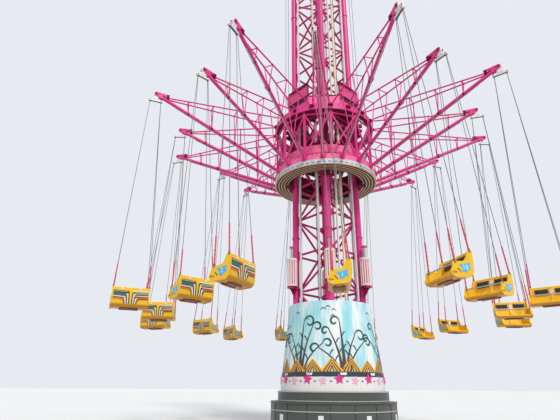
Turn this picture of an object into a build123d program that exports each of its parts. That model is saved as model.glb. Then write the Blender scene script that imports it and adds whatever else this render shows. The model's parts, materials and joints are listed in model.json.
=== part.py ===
"""Chair swing ride: a lattice tower, a carriage that climbs it, a turntable with 18 arms and 18 double chairs.

Millimetres, +Z up. The origin is on the ground, on the axis of the tower. The faces of the tower are
parallel to X and Y. Arms are numbered clockwise seen from above, and arm 1 is a short one.
"""

from build123d import *
import os
from math import atan2, cos, degrees, hypot, pi, radians, sin, tan

# Clearances
SEAT = 0.3
RUNNING = 0.4
PIN_GAP = 0.2
CLEAR = 12.0

# Base
PLINTH_R = 2320.0
PLINTH_H = 1050.0
STEP_R = 2070.0
STEP_H = 350.0
RIM_OUT = 30.0
RIM_H = 45.0
SKIRT_R = 1970.0
SKIRT_H = 450.0
SKIRT_T = 20.0
CONE_FOOT_R = 1920.0
CONE_TOP_R = 1630.0
CONE_H = 2680.0
CONE_T = 15.0

# Tower
LEG_SPACING = 1898.0
LEG_D = 280.0
LEG_FLANGE_D = 330.0
LEG_FLANGE_T = 60.0
LEG_FOOT_D = 460.0
LEG_FOOT_T = 40.0
TOWER_TOP = 36270.0
PANEL_H = 1557.0
FIRST_NODE_UP = 616.0
BRACE_W = 80.0
FLANGE_EVERY = 4
RAIL_W = 65.0
RAIL_OFF = 120.0
RAIL_SHARE = 0.222
RAIL_FOOT_UP = 3300.0
TRUNK_W = 110.0
TRUNK_T = 60.0
CABLE_D = 50.0
TRUNK_Y = -95.0

# Landing buffers, one beside each leg, as pairs of the leg's angle and the shift from it
BUFFERS = ((45.0, 0.0), (135.0, 12.0), (225.0, 0.0), (315.0, -12.0))
BUFFER_D = 400.0
BUFFER_FOOT_UP = 3870.0
BUFFER_H = 1210.0
BUFFER_PLATE = 430.0
BUFFER_PLATE_T = 30.0
BRACKET_T = 40.0
ROD_D = 120.0
ROD_L = 480.0
PAD_D = 240.0
PAD_T = 50.0

# Carriage
SHOE_BELOW = 165.0
SHOE_T = 45.0
SHOE_OUT_R = 1800.0
SHOE_W = 240.0
CORNER_IN_R = 1520.0
CORNER_T = 55.0
CORNER_W = 300.0
BEARING_OUT_R = 1740.0
BEARING_UP = 200.0
BEARING_H = 420.0
ROLLER_D = 200.0
ROLLER_W = 70.0
ROLLER_UP = 1100.0
ROLLER_APART = 1400.0
BEAM_W = 120.0
PANEL_GAP = 160.0
PANEL_BOX_H = 1455.0
CHAMFER_H = 700.0
PANEL_HALF = 1645.0
PANEL_CORNER = 645.0
PANEL_T = 30.0
SLOT_UP = 550.0
SLOT_H = 200.0
SLOT_W = 1180.0
DECK_T = 60.0

# Turntable
LOWER_RING_R = 2150.0
LOWER_RING_W = 200.0
LOWER_RING_Z = 10150.0
LOWER_RING_H = 250.0
UPPER_RING_R = 2180.0
CAGE_H = 2150.0
UPPER_RING_H = 290.0
SOFFIT_IN_R = 1607.0
SOFFIT_OUT_R = 2246.0
SOFFIT_BELOW = 230.0
SOFFIT_T = 30.0
RIM_T = 30.0
SLEW_WALL = 160.0
SLEW_PLATE_T = 50.0
CAGE_POSTS = 12
POST_W = 90.0
CAGE_BRACE_W = 60.0
CAGE_STRUT_UP = 120.0

# Arms
ARMS = 18
FIRST_ARM_DEG = 220.94
LONG_R = 7756.0
SHORT_R = 6718.0
LONG_UP = 160.0
SHORT_BELOW = 60.0
LOWER_CHORD = 140.0
UPPER_CHORD = 60.0
WEB = 45.0
UPPER_FOOT_DEG = 9.1
UPPER_FOOT_UP = 190.0
LOWER_FOOT_UP = 85.0
UPPER_TIP_BELOW = 100.0
FRAMES = 4
FRAME_SHARE = 0.207
COLLAR = 200.0
COLLAR_L = 120.0
HEAD_L = 520.0
HEAD_W = 180.0
HEAD_SLOT = 140.0
HEAD_NOSE_R = 95.0
PIN_D = 50.0
PIN_SIDES = 16

# Hangers and chairs
TRAIL_DEG = 3.0
DROP = 8514.0
BOSS_D = 110.0
BOSS_W = 110.0
SPREADER_L = 480.0
SPREADER_W = 56.0
SPREADER_DROP = 300.0
ROPE_D = 20.0
ROPE_APART = 34.0
SLEEVE_D = 44.0
SLEEVE_L = 800.0
CHAIR_W = 1190.0
CHAIR_D = 660.0
CHAIR_H = 640.0
ARM_TOP = 380.0
CHAIR_WALL = 46.0
PAN_Z = 110.0
BACK_LOW_T = 95.0
BACK_TOP_T = 60.0
PAD_THICK = 44.0
PAD_MID_Z = 462.0
LAP_BAR_D = 40.0

# Hoist ropes and crown
HOIST_D = 24.0
HOIST_IN_R = 1641.0
HOIST_OUT_R = 1781.0
ANCHOR_H = 150.0
SHEAVE_R = 370.0
SHEAVE_W = 60.0
SHEAVE_UP = 630.0
SHEAVE_APART = 800.0
CHEEK_REACH = 400.0
CHEEK_T = 30.0
CROWN_BEAM = 200.0
CROWN_OVER = 300.0
HOOD_H = 468.0

CORNERS = (45.0, 135.0, 225.0, 315.0)
FACES = (0.0, 90.0, 180.0, 270.0)
FACE_NAMES = {0.0: "east", 90.0: "north", 180.0: "west", 270.0: "south"}
STEP_TOP = PLINTH_H + STEP_H
FIRST_NODE_Z = STEP_TOP + FIRST_NODE_UP
RAIL_FOOT_Z = STEP_TOP + RAIL_FOOT_UP
BUFFER_FOOT_Z = STEP_TOP + BUFFER_FOOT_UP
ROD_TOP_Z = BUFFER_FOOT_Z + BUFFER_H + ROD_L
SOFFIT_Z = LOWER_RING_Z - SOFFIT_BELOW
SHOE_Z = SOFFIT_Z - SHOE_BELOW
BEARING_Z = LOWER_RING_Z + LOWER_RING_H + BEARING_UP
UPPER_RING_Z = LOWER_RING_Z + LOWER_RING_H + CAGE_H
PANEL_FOOT_Z = UPPER_RING_Z + UPPER_RING_H + PANEL_GAP
PANEL_TOP_Z = PANEL_FOOT_Z + PANEL_BOX_H
CHAMFER_TOP_Z = PANEL_FOOT_Z + CHAMFER_H
SLOT_Z = PANEL_FOOT_Z + SLOT_UP
ANCHOR_Z = PANEL_FOOT_Z
ROLLER_Z = (LOWER_RING_Z + ROLLER_UP, LOWER_RING_Z + ROLLER_UP + ROLLER_APART)
LONG_Z = UPPER_RING_Z + LONG_UP
SHORT_Z = LONG_Z - SHORT_BELOW
UPPER_FOOT_Z = UPPER_RING_Z + UPPER_FOOT_UP
LOWER_FOOT_Z = LOWER_RING_Z + LOWER_FOOT_UP
HOIST_R = (HOIST_IN_R, HOIST_OUT_R)
SHEAVE_Z = (TOWER_TOP + SHEAVE_UP, TOWER_TOP + SHEAVE_UP + SHEAVE_APART)
LEG_R = LEG_SPACING / 2 * 2 ** 0.5
BEARING_IN_R = hypot(CORNER_IN_R + CORNER_T, CORNER_W / 2) + SEAT
DECK_FOOT_Z = PANEL_FOOT_Z - SEAT - DECK_T
HOOD_FOOT_Z = SHEAVE_Z[1] + SHEAVE_R + CLEAR
RAIL_X = LEG_SPACING / 2 + RAIL_OFF
RAIL_Y = LEG_SPACING * (0.5 - RAIL_SHARE)


def turned(shape, degrees_ccw):
    """The shape turned about the axis of the tower."""
    return Rot(0, 0, degrees_ccw) * shape


def block(x, y, z):
    """A box from pairs of limits."""
    size = Box(x[1] - x[0], y[1] - y[0], z[1] - z[0])
    return Pos((x[0] + x[1]) / 2, (y[0] + y[1]) / 2, (z[0] + z[1]) / 2) * size


def tube(outer, inner, z0, z1):
    """An upright ring with the outer and inner radius given."""
    height = z1 - z0
    ring = Cylinder(outer, height) - Cylinder(inner, height)
    return Pos(0, 0, (z0 + z1) / 2) * ring


def drum(radius, z0, z1, sides=0):
    """An upright solid cylinder on the axis, or a prism of that radius across its corners."""
    if sides:
        return Pos(0, 0, z0) * extrude(RegularPolygon(radius, sides), z1 - z0)
    return Pos(0, 0, (z0 + z1) / 2) * Cylinder(radius, z1 - z0)


def roller(radius, width, sides):
    """A wheel or pin as a level prism along Y, centred."""
    return Rot(90, 0, 0) * drum(radius, -width / 2, width / 2, sides)


def bar(start, end, width, sides=4):
    """A straight bar of regular section, width across its flats."""
    start = Vector(*start)
    axis = Vector(*end) - start
    level = Vector(-axis.Y, axis.X, 0)
    if level.length < 1e-6:
        level = Vector(1, 0, 0)
    section = RegularPolygon(width / 2 / cos(pi / sides), sides, rotation=180 / sides)
    return extrude(Plane(origin=start, x_dir=level, z_dir=axis) * section, axis.length)


def fused(shapes):
    """One solid from overlapping pieces."""
    return shapes[0].fuse(*shapes[1:])


def between(p, q, share):
    """The point that lies a share of the way from p to q."""
    return tuple(a + (b - a) * share for a, b in zip(p, q))


def polar(radius, degrees_ccw, z):
    """A point at a radius and an angle about the axis."""
    return (radius * cos(radians(degrees_ccw)), radius * sin(radians(degrees_ccw)), z)


def foundation_plinth():
    """The drum that the tower stands on, with a step and thin rims."""
    body = drum(PLINTH_R, 0, PLINTH_H) + drum(STEP_R, PLINTH_H, STEP_TOP)
    body += tube(PLINTH_R + RIM_OUT, PLINTH_R - RIM_OUT, PLINTH_H - RIM_H, PLINTH_H)
    return [body]


def star_skirt():
    """The short band at the foot of the cone."""
    return [tube(SKIRT_R, SKIRT_R - SKIRT_T, STEP_TOP, STEP_TOP + SKIRT_H)]


def base_cone():
    """The thin conical cladding round the foot of the tower, open at the top."""
    foot = STEP_TOP + SKIRT_H
    top = foot + CONE_H
    outline = Polyline(
        (CONE_FOOT_R, foot), (CONE_TOP_R, top), (CONE_TOP_R - CONE_T, top),
        (CONE_FOOT_R - CONE_T, foot), close=True,
    )
    shell = revolve(Plane.XZ * make_face(outline), Axis.Z)
    ledge = tube(SKIRT_R, CONE_FOOT_R - CONE_T, foot, foot + CONE_T)
    return [shell + ledge]


def tower_legs():
    """Four round legs in flanged lengths, each on a foot plate."""
    flanges = []
    z = FIRST_NODE_Z + PANEL_H * 3.5
    while z < TOWER_TOP - PANEL_H:
        flanges.append(drum(LEG_FLANGE_D / 2, z - LEG_FLANGE_T / 2, z + LEG_FLANGE_T / 2, 8))
        z += PANEL_H * FLANGE_EVERY
    leg = fused([
        drum(LEG_D / 2, STEP_TOP + SEAT, TOWER_TOP, 12),
        drum(LEG_FOOT_D / 2, STEP_TOP + SEAT, STEP_TOP + LEG_FOOT_T, 8), *flanges,
    ])
    half = LEG_SPACING / 2
    return [Pos(x, y, 0) * leg for x in (-half, half) for y in (-half, half)]


def tower_bracing(face_deg):
    """One side of the lattice: level bars and a zigzag, between two legs."""
    half = LEG_SPACING / 2
    reach = half - LEG_D / 2 - SEAT
    bars = []
    count = int((TOWER_TOP - BRACE_W - FIRST_NODE_Z) / PANEL_H)
    swap = 1 if face_deg in (0.0, 180.0) else -1
    for k in range(count + 1):
        z = FIRST_NODE_Z + k * PANEL_H
        side = swap if k % 2 else -swap
        bars.append(bar((half, -reach, z), (half, reach, z), BRACE_W))
        if k < count:
            low = (half, side * reach, z)
            high = (half, -side * reach, z + PANEL_H)
            bars.append(bar(between(low, high, -0.1), between(low, high, 1.1), BRACE_W))
    lattice = fused(bars)
    room = block((half - BRACE_W, half + BRACE_W), (-reach, reach), (0, TOWER_TOP))
    return [turned(lattice & room, face_deg)]


def guide_rails():
    """Two guide rails on each face, on stand-off clips on the level bars."""
    rail = block(
        (RAIL_X - RAIL_W / 2, RAIL_X + RAIL_W / 2), (RAIL_Y - RAIL_W / 2, RAIL_Y + RAIL_W / 2),
        (RAIL_FOOT_Z, TOWER_TOP),
    )
    clips = []
    z = FIRST_NODE_Z + 2 * PANEL_H
    while z < TOWER_TOP - BRACE_W:
        inner = LEG_SPACING / 2 + BRACE_W / 2 + SEAT
        clips.append(block((inner, RAIL_X), (RAIL_Y - 20, RAIL_Y + 20), (z - 20, z + 20)))
        z += 4 * PANEL_H
    one = fused([rail, *clips])
    other = mirror(one, about=Plane.XZ)
    return [turned(piece, face) for face in FACES for piece in (one, other)]


def cable_trunking():
    """The flat cable duct and the round power cable beside it, on one face."""
    inner = LEG_SPACING / 2 + BRACE_W / 2 + SEAT
    duct = block((inner, inner + TRUNK_T), (TRUNK_Y - TRUNK_W, TRUNK_Y), (STEP_TOP + SEAT, TOWER_TOP))
    cable_y = TRUNK_Y + CABLE_D
    foot = (inner + CABLE_D / 2, cable_y, STEP_TOP + SEAT)
    cable = bar(foot, (foot[0], cable_y, TOWER_TOP), CABLE_D, 8)
    return [turned(duct, FACES[3]), turned(cable, FACES[3])]


def buffer_radius(shift):
    """The radius at which a buffer just clears its leg when it is shifted round from it."""
    gap = LEG_D / 2 + BUFFER_PLATE / 2 + SEAT
    return LEG_R * cos(radians(shift)) + (gap ** 2 - (LEG_R * sin(radians(shift))) ** 2) ** 0.5


def landing_buffers():
    """The striped buffer bodies, one beside each leg, with their end plates."""
    foot = BUFFER_FOOT_Z
    body = fused([
        drum(BUFFER_D / 2, foot, foot + BUFFER_H, 16),
        drum(BUFFER_PLATE / 2, foot, foot + BUFFER_PLATE_T, 16),
        drum(BUFFER_PLATE / 2, foot + BUFFER_H - BUFFER_PLATE_T, foot + BUFFER_H, 16),
    ])
    return [Pos(*polar(buffer_radius(s), a + s, 0)) * body for a, s in BUFFERS]


def buffer_rods():
    """The rods above the buffers, each with a round landing pad."""
    top = ROD_TOP_Z + PAD_T
    rod = drum(ROD_D / 2, BUFFER_FOOT_Z + BUFFER_H + SEAT, top, 12) + drum(PAD_D / 2, ROD_TOP_Z, top, 12)
    return [Pos(*polar(buffer_radius(s), a + s, 0)) * rod for a, s in BUFFERS]


def buffer_brackets():
    """A shelf under each buffer and a web below it, standing off the leg beside the buffer."""
    shelf_top = BUFFER_FOOT_Z - SEAT
    z0 = shelf_top - BRACKET_T
    brackets = []
    for leg_deg, shift in BUFFERS:
        leg = Vector(*polar(LEG_R, leg_deg, 0))
        away = Vector(*polar(buffer_radius(shift), leg_deg + shift, 0)) - leg
        reach = away.length + BUFFER_PLATE / 2
        shelf = block((0, reach), (-130, 130), (z0, shelf_top))
        web = Plane.XZ * make_face(Polyline((0, z0), (reach, z0), (0, z0 - 480), close=True))
        bracket = shelf + extrude(web, 15, both=True)
        bracket = Rot(0, 0, degrees(atan2(away.Y, away.X))) * bracket
        bracket -= drum(LEG_D / 2 + SEAT, z0 - 500, shelf_top + 10, 12)
        brackets.append(Pos(leg.X, leg.Y, 0) * bracket)
    return brackets


def hanger_plate(angle):
    """An upright plate of the carriage, close inside the bearing ring."""
    outer = CORNER_IN_R + CORNER_T
    plate = block((CORNER_IN_R, outer), (-CORNER_W / 2, CORNER_W / 2), (SHOE_Z, DECK_FOOT_Z - SEAT))
    return turned(plate, angle)


def carriage_frame():
    """Upright plates tied by two levels of face beams, with a landing shoe over each buffer."""
    pieces = [hanger_plate(a) for a in CORNERS]
    for leg_deg, shift in BUFFERS:
        angle = leg_deg + shift
        if shift:
            pieces.append(hanger_plate(angle))
        start = min(CORNER_IN_R, buffer_radius(shift) - PAD_D / 2)
        shoe = block((start, SHOE_OUT_R), (-SHOE_W / 2, SHOE_W / 2), (SHOE_Z, SHOE_Z + SHOE_T))
        pieces.append(turned(shoe, angle))
    inner = RAIL_X + RAIL_W / 2 + ROLLER_D + CLEAR
    middle = (CORNER_IN_R + CORNER_T) * cos(radians(45))
    for z in ROLLER_Z:
        for face in FACES:
            height = (z - BEAM_W / 2, z + BEAM_W / 2)
            pieces.append(turned(block((inner, inner + BEAM_W), (-middle, middle), height), face))
            for side in (-1, 1):
                link = bar((inner + BEAM_W / 2, side * (middle - BEAM_W / 2), z), polar(
                    CORNER_IN_R + CORNER_T / 2, side * 45, z), BEAM_W * 0.8)
                pieces.append(turned(link, face))
    return [fused(pieces)]


def guide_rollers():
    """Rollers that run on the outer faces of the guide rails, each with its fork and axle."""
    centre_x = RAIL_X + RAIL_W / 2 + RUNNING + ROLLER_D / 2
    beam_x = RAIL_X + RAIL_W / 2 + ROLLER_D + CLEAR - SEAT
    wheel = roller(ROLLER_D / 2, ROLLER_W, 8)
    axle = roller(20, ROLLER_W + 60, 4)
    plates = []
    for side in (-1, 1):
        y = side * (ROLLER_W / 2 + 18)
        plates.append(block((-30, beam_x - centre_x), (y - 8, y + 8), (-35, 35)))
    unit = fused([wheel, axle, *plates])
    rollers = []
    for face in FACES:
        for side in (-1, 1):
            for z in ROLLER_Z:
                rollers.append(turned(Pos(centre_x, side * RAIL_Y, z) * unit, face))
    return rollers


def bearing_ring():
    """The fixed inner ring of the slewing bearing, round the corner plates."""
    return [tube(BEARING_OUT_R, BEARING_IN_R, BEARING_Z, BEARING_Z + BEARING_H)]


def octagon(half, corner):
    """The outline of the panel box, with long faces at the distance half from the axis."""
    quarter = [(half, -corner), (half, corner), (corner, half), (-corner, half)]
    rest = [(-x, -y) for x, y in quarter]
    return make_face(Polyline(*quarter, *rest, close=True))


def carriage_panels():
    """The eight-sided panel box of the carriage: tall slotted faces and low corners."""
    inset = PANEL_T * tan(radians(22.5))
    height = PANEL_TOP_Z - PANEL_FOOT_Z
    shell = extrude(octagon(PANEL_HALF, PANEL_CORNER), height)
    shell -= extrude(octagon(PANEL_HALF - PANEL_T, PANEL_CORNER - inset), height)
    shell = Pos(0, 0, PANEL_FOOT_Z) * shell
    cuts = []
    for corner in CORNERS:
        low = PANEL_HALF * 0.94
        wide = (PANEL_HALF - PANEL_CORNER) / 2 ** 0.5
        cuts.append(turned(block((low, PANEL_HALF * 1.3), (-wide, wide), (CHAMFER_TOP_Z, PANEL_TOP_Z)), corner))
    for face in FACES:
        slot = block((PANEL_HALF * 0.9, PANEL_HALF * 1.1), (-SLOT_W / 2, SLOT_W / 2), (SLOT_Z, SLOT_Z + SLOT_H))
        cuts.append(turned(slot, face))
    return [shell - cuts]


def carriage_deck():
    """The plate under the panel box, with a square way through for the tower."""
    deck = extrude(octagon(PANEL_HALF, PANEL_CORNER), DECK_T)
    way = RAIL_X + RAIL_W / 2 + CLEAR
    corner_way = LEG_SPACING / 2 + LEG_FLANGE_D / 2 + CLEAR
    hole = Rectangle(2 * way, 2 * RAIL_Y + 4 * RAIL_W) + Rectangle(2 * RAIL_Y + 4 * RAIL_W, 2 * way)
    hole += Rectangle(2 * corner_way, 2 * corner_way) & Rot(0, 0, 45) * Rectangle(
        2 * (CORNER_IN_R - CLEAR), 2 * (CORNER_IN_R - CLEAR))
    deck -= extrude(hole, DECK_T)
    return [Pos(0, 0, DECK_FOOT_Z) * deck]


def slewing_ring():
    """The turning outer ring of the bearing, with the plate that seats on the lower ring."""
    inner = BEARING_OUT_R + RUNNING
    plate_z = LOWER_RING_Z + LOWER_RING_H
    ring = tube(inner + SLEW_WALL, inner, plate_z, BEARING_Z + BEARING_H)
    ring += tube(LOWER_RING_R - LOWER_RING_W / 2 + 60, inner, plate_z, plate_z + SLEW_PLATE_T)
    return [ring]


def lower_ring():
    """The box-section ring beam that the lower chords of the arms bear on."""
    half = LOWER_RING_W / 2
    return [tube(LOWER_RING_R + half, LOWER_RING_R - half, LOWER_RING_Z, LOWER_RING_Z + LOWER_RING_H)]


def upper_ring():
    """The ring beam that the upper chords of the arms are tied to."""
    half = LOWER_RING_W / 2
    return [tube(UPPER_RING_R + half, UPPER_RING_R - half, UPPER_RING_Z, UPPER_RING_Z + UPPER_RING_H)]


CAGE_FOOT = LOWER_RING_Z + LOWER_RING_H + SEAT
CAGE_TOP = UPPER_RING_Z - SEAT
CAGE_R = UPPER_RING_R - 10
PITCH = 360.0 / ARMS
CAGE_PITCH = 360.0 / CAGE_POSTS


def cage_post(grow):
    """An upright post of the cage on +X, with its sides moved out by grow."""
    half = POST_W / 2 + grow
    return block((CAGE_R - half, CAGE_R + half), (-half, half), (CAGE_FOOT, CAGE_TOP))


def cage_posts():
    """Upright posts between the two rings, one of them midway between two arms."""
    first = FIRST_ARM_DEG + PITCH / 2
    return [turned(cage_post(0), first + CAGE_PITCH * k) for k in range(CAGE_POSTS)]


def cage_braces():
    """A cross brace in each bay of the cage, with a level strut below and above it."""
    across = CAGE_PITCH / 2
    x = CAGE_R * cos(radians(across))
    y = CAGE_R * sin(radians(across))
    low = CAGE_FOOT + CAGE_STRUT_UP
    high = CAGE_TOP - CAGE_STRUT_UP
    pieces = []
    for left, right in ((low, low), (high, high), (low, high), (high, low)):
        pieces.append(bar((x, -y, left), (x, y, right), CAGE_BRACE_W))
    bay = fused(pieces) - [turned(cage_post(SEAT), across), turned(cage_post(SEAT), -across)]
    first = FIRST_ARM_DEG + PITCH / 2 + across
    return [turned(bay, first + CAGE_PITCH * k) for k in range(CAGE_POSTS)]


def arm(tip_r, tip_z):
    """One lattice arm along +X: a lower chord, two upper chords and three-sided frames between them."""
    rear = tip_r - HEAD_L - SEAT
    slope = (tip_z - LOWER_FOOT_Z) / (tip_r - LOWER_RING_R)
    root = LOWER_RING_R + LOWER_RING_W / 2
    low_foot = (root - 200, 0, LOWER_FOOT_Z - 200 * slope)
    low_tip = (rear + 60, 0, tip_z - (HEAD_L - 60) * slope)
    lower = bar(low_foot, low_tip, LOWER_CHORD)
    upper_root = UPPER_RING_R + LOWER_RING_W / 2 + SEAT + 8
    splay = HEAD_W / 2 - UPPER_CHORD / 2
    foot = polar(upper_root, UPPER_FOOT_DEG, UPPER_FOOT_Z)
    pieces = [lower]
    ends = {}
    for side in (-1, 1):
        ends[side] = (
            (foot[0], side * foot[1], foot[2]), (rear + 60, side * splay, tip_z - UPPER_TIP_BELOW))
        pieces.append(bar(*ends[side], UPPER_CHORD))
    start = (root, 0, LOWER_FOOT_Z)
    stop = (rear, 0, tip_z - HEAD_L * slope)
    for k in range(1, FRAMES + 1):
        low = between(start, stop, FRAME_SHARE * k)
        high = {side: between(*ends[side], FRAME_SHARE * k) for side in (-1, 1)}
        pieces.append(bar(high[-1], high[1], WEB))
        for side in (-1, 1):
            pieces.append(bar(low, high[side], WEB))
    collar = between(start, stop, 0.64)
    pieces.append(bar(collar, between(collar, stop, COLLAR_L / (stop[0] - collar[0])), COLLAR))
    room = block((root + SEAT, rear), (-root / 3, root / 3), (LOWER_RING_Z - HEAD_L, tip_z + HEAD_L))
    return fused(pieces) & room


def arm_head(tip_r, tip_z):
    """The forked head at the tip of an arm, with the pin that the hanger swings on."""
    slope = (tip_z - LOWER_FOOT_Z) / (tip_r - LOWER_RING_R)
    low = HEAD_L * slope + LOWER_CHORD * 0.62
    outline = make_face(Polyline(
        (-HEAD_L, 40), (-HEAD_L, -low), (-HEAD_L + 60, -low), (10, -HEAD_NOSE_R), (0, HEAD_NOSE_R),
        (-HEAD_L + 160, 60), close=True))
    profile = outline + RegularPolygon(HEAD_NOSE_R, 8)
    head = extrude(Plane.XZ * profile, HEAD_W / 2, both=True)
    slot = block((-HEAD_L + 130, HEAD_NOSE_R + 10), (-HEAD_SLOT / 2, HEAD_SLOT / 2), (-low - 10, HEAD_NOSE_R + 10))
    head -= slot
    head += roller(PIN_D / 2, (HEAD_W + HEAD_SLOT) / 2, PIN_SIDES)
    return Pos(tip_r, 0, tip_z) * head


def arm_angle(k):
    """The angle of arm k about the axis."""
    return FIRST_ARM_DEG - PITCH * k


def arm_tip(k):
    """The radius and height of the pin of arm k."""
    return (LONG_R, LONG_Z) if k % 2 else (SHORT_R, SHORT_Z)


def arms():
    """All arms, in two half circles, and their heads."""
    kinds = {0: arm(SHORT_R, SHORT_Z), 1: arm(LONG_R, LONG_Z)}
    tips = {0: arm_head(SHORT_R, SHORT_Z), 1: arm_head(LONG_R, LONG_Z)}
    lattices = [turned(kinds[k % 2], arm_angle(k)) for k in range(ARMS)]
    heads = [turned(tips[k % 2], arm_angle(k)) for k in range(ARMS)]
    return lattices[:ARMS // 2], lattices[ARMS // 2:], heads


def striped_soffit():
    """The flat ring seen from below, with a short lip at its inner edge."""
    plate = tube(SOFFIT_OUT_R, SOFFIT_IN_R, SOFFIT_Z, SOFFIT_Z + SOFFIT_T)
    lip = tube(SOFFIT_IN_R + 20, SOFFIT_IN_R, SOFFIT_Z, SOFFIT_Z + 120)
    return [plate + lip]


def soffit_rim():
    """The upright band round the soffit, up to the lower ring."""
    return [tube(SOFFIT_OUT_R, SOFFIT_OUT_R - RIM_T, SOFFIT_Z + SOFFIT_T, LOWER_RING_Z)]


def hanger():
    """The boss on the pin, the shank and the radial spreader bar, with the pin at the origin."""
    boss = roller(BOSS_D / 2, BOSS_W, 8)
    shank = block((-30, 30), (-25, 25), (-SPREADER_DROP, 0))
    half = SPREADER_L / 2
    spreader = block(
        (-half, half), (-SPREADER_W / 2, SPREADER_W / 2), (-SPREADER_DROP - SPREADER_W, -SPREADER_DROP))
    bore = roller((PIN_D / 2 + PIN_GAP) / cos(pi / PIN_SIDES), BOSS_W + 10, PIN_SIDES)
    return boss + shank + spreader - bore


def chair_profile():
    """The side outline of a chair: forward is +X here and the lowest point is at zero."""
    front = CHAIR_D / 2
    rear = -CHAIR_D / 2
    return make_face(Polyline(
        (front, 140), (front - 30, 60), (front - 120, 0), (rear + 150, 0), (rear + 50, 90),
        (rear + 12, ARM_TOP), (rear, CHAIR_H), (rear + 115, CHAIR_H), (rear + 190, ARM_TOP + 90),
        (rear + 260, ARM_TOP), (front - 95, ARM_TOP), (front - 75, 240), close=True))


def chair_shell():
    """The moulded double seat: side walls, pan, back and a rib between the places. Forward is -Y."""
    outer = extrude(chair_profile(), CHAIR_W / 2, both=True)
    rear = -CHAIR_D / 2
    hollow = make_face(Polyline(
        (CHAIR_D, PAN_Z), (rear + 150, PAN_Z), (rear + BACK_LOW_T, CHAIR_H / 2), (rear + BACK_TOP_T, CHAIR_H),
        (rear + BACK_TOP_T, CHAIR_H * 1.2), (CHAIR_D, CHAIR_H * 1.2), close=True))
    inner = extrude(hollow, CHAIR_W / 2 - CHAIR_WALL, both=True)
    shell = outer - inner
    across = Plane(origin=(0, 0, 0), x_dir=(0, -1, 0), z_dir=(-1, 0, 0))
    shell = across * shell
    half = CHAIR_W / 2
    rail = block((-half + 120, half - 120), (-60, 60), (-40, 0))
    return shell + rail


def pads():
    """Two back pads and the block between them."""
    lean = atan2(BACK_LOW_T - BACK_TOP_T, CHAIR_H / 2)
    seat_y = CHAIR_D / 2 - BACK_LOW_T + (PAD_MID_Z - CHAIR_H / 2) * tan(lean)
    pieces = []
    for x in (-1, 1):
        centre = x * CHAIR_W * 0.24
        pad = block((centre - 190, centre + 190), (-PAD_THICK - SEAT, -SEAT), (-90, 90))
        pieces.append(Pos(0, seat_y, PAD_MID_Z) * Rot(-degrees(lean), 0, 0) * pad)
    return pieces


def lap_bar():
    """The bar across the front of the seat, between the side walls."""
    reach = CHAIR_W / 2 - CHAIR_WALL - SEAT
    y = -CHAIR_D / 2 + 130
    return bar((-reach, y, ARM_TOP - 40), (reach, y, ARM_TOP - 40), LAP_BAR_D)


def rope(top, foot):
    """One suspension rope with the soft sleeve over its lowest stretch."""
    length = hypot(foot[0] - top[0], foot[1] - top[1], foot[2] - top[2])
    sleeve_top = between(foot, top, SLEEVE_L / length)
    return bar(top, foot, ROPE_D) + bar(sleeve_top, foot, SLEEVE_D)


def chair(tip_r, tip_z):
    """A hanging double chair with its hanger and ropes, on the arm along +X."""
    drop = DROP + (tip_z - LONG_Z) - SPREADER_DROP - SPREADER_W / 2
    foot_z = -drop - CHAIR_H / 2
    wall_x = CHAIR_W / 2 - CHAIR_WALL / 2
    load = [Pos(0, 0, foot_z) * chair_shell(), Pos(0, 0, foot_z) * lap_bar()]
    load += [Pos(0, 0, foot_z) * pad for pad in pads()]
    for x in (-1, 1):
        top_x = x * (SPREADER_L / 2 - 25)
        for y, seat_y, seat_z in ((-1, -CHAIR_D / 2 + 160, ARM_TOP), (1, CHAIR_D / 2 - 60, CHAIR_H)):
            top = (top_x, y * ROPE_APART / 2, -SPREADER_W / 2 - 2)
            foot = (x * wall_x, seat_y, foot_z + seat_z + 1.7)
            load.append(rope(top, foot))
    load = [Pos(0, 0, -SPREADER_DROP - SPREADER_W / 2) * Rot(TRAIL_DEG, 0, 0) * piece for piece in load]
    return [Pos(tip_r, 0, tip_z) * piece for piece in [hanger(), *load]]


def hoist_ropes(radius, top):
    """One rope beside each leg, from the carriage up to its sheave."""
    feet = [polar(radius, corner, ANCHOR_Z + ANCHOR_H + SEAT) for corner in CORNERS]
    return [bar(foot, (foot[0], foot[1], top), HOIST_D, 6) for foot in feet]


def rope_anchors():
    """The sockets on the corners of the carriage that the hoist ropes end in."""
    outer = HOIST_R[1] + 60
    inner = (PANEL_HALF + PANEL_CORNER) / 2 ** 0.5 + SEAT
    anchor = block((inner, outer), (-70, 70), (ANCHOR_Z, ANCHOR_Z + ANCHOR_H))
    return [turned(anchor, a) for a in CORNERS]


def crown_frame():
    """The square head frame on the legs, with cross beams that carry the sheaves."""
    half = LEG_SPACING / 2 + LEG_D / 2 + CROWN_OVER / 2
    z0 = TOWER_TOP + SEAT
    z1 = z0 + CROWN_BEAM
    plate = block((-half, half), (-half, half), (z0, z1))
    inner = half - CROWN_BEAM
    plate -= block((-inner, inner), (-inner, inner), (z0, z1))
    bevel = HOIST_R[0] - HOIST_D - CLEAR
    pieces = [plate & turned(block((-bevel, bevel), (-bevel, bevel), (z0, z1)), CORNERS[0])]
    for corner in CORNERS:
        for side in (-1, 1):
            y = side * (SHEAVE_W / 2 + CHEEK_T)
            cheek = block(
                (HOIST_IN_R - SHEAVE_R - CHEEK_REACH, LEG_R + CROWN_BEAM),
                (y - CHEEK_T / 2, y + CHEEK_T / 2), (z1 - CROWN_BEAM / 10, HOOD_FOOT_Z - SEAT))
            pieces.append(turned(cheek, corner))
    return [fused(pieces)]


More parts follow.
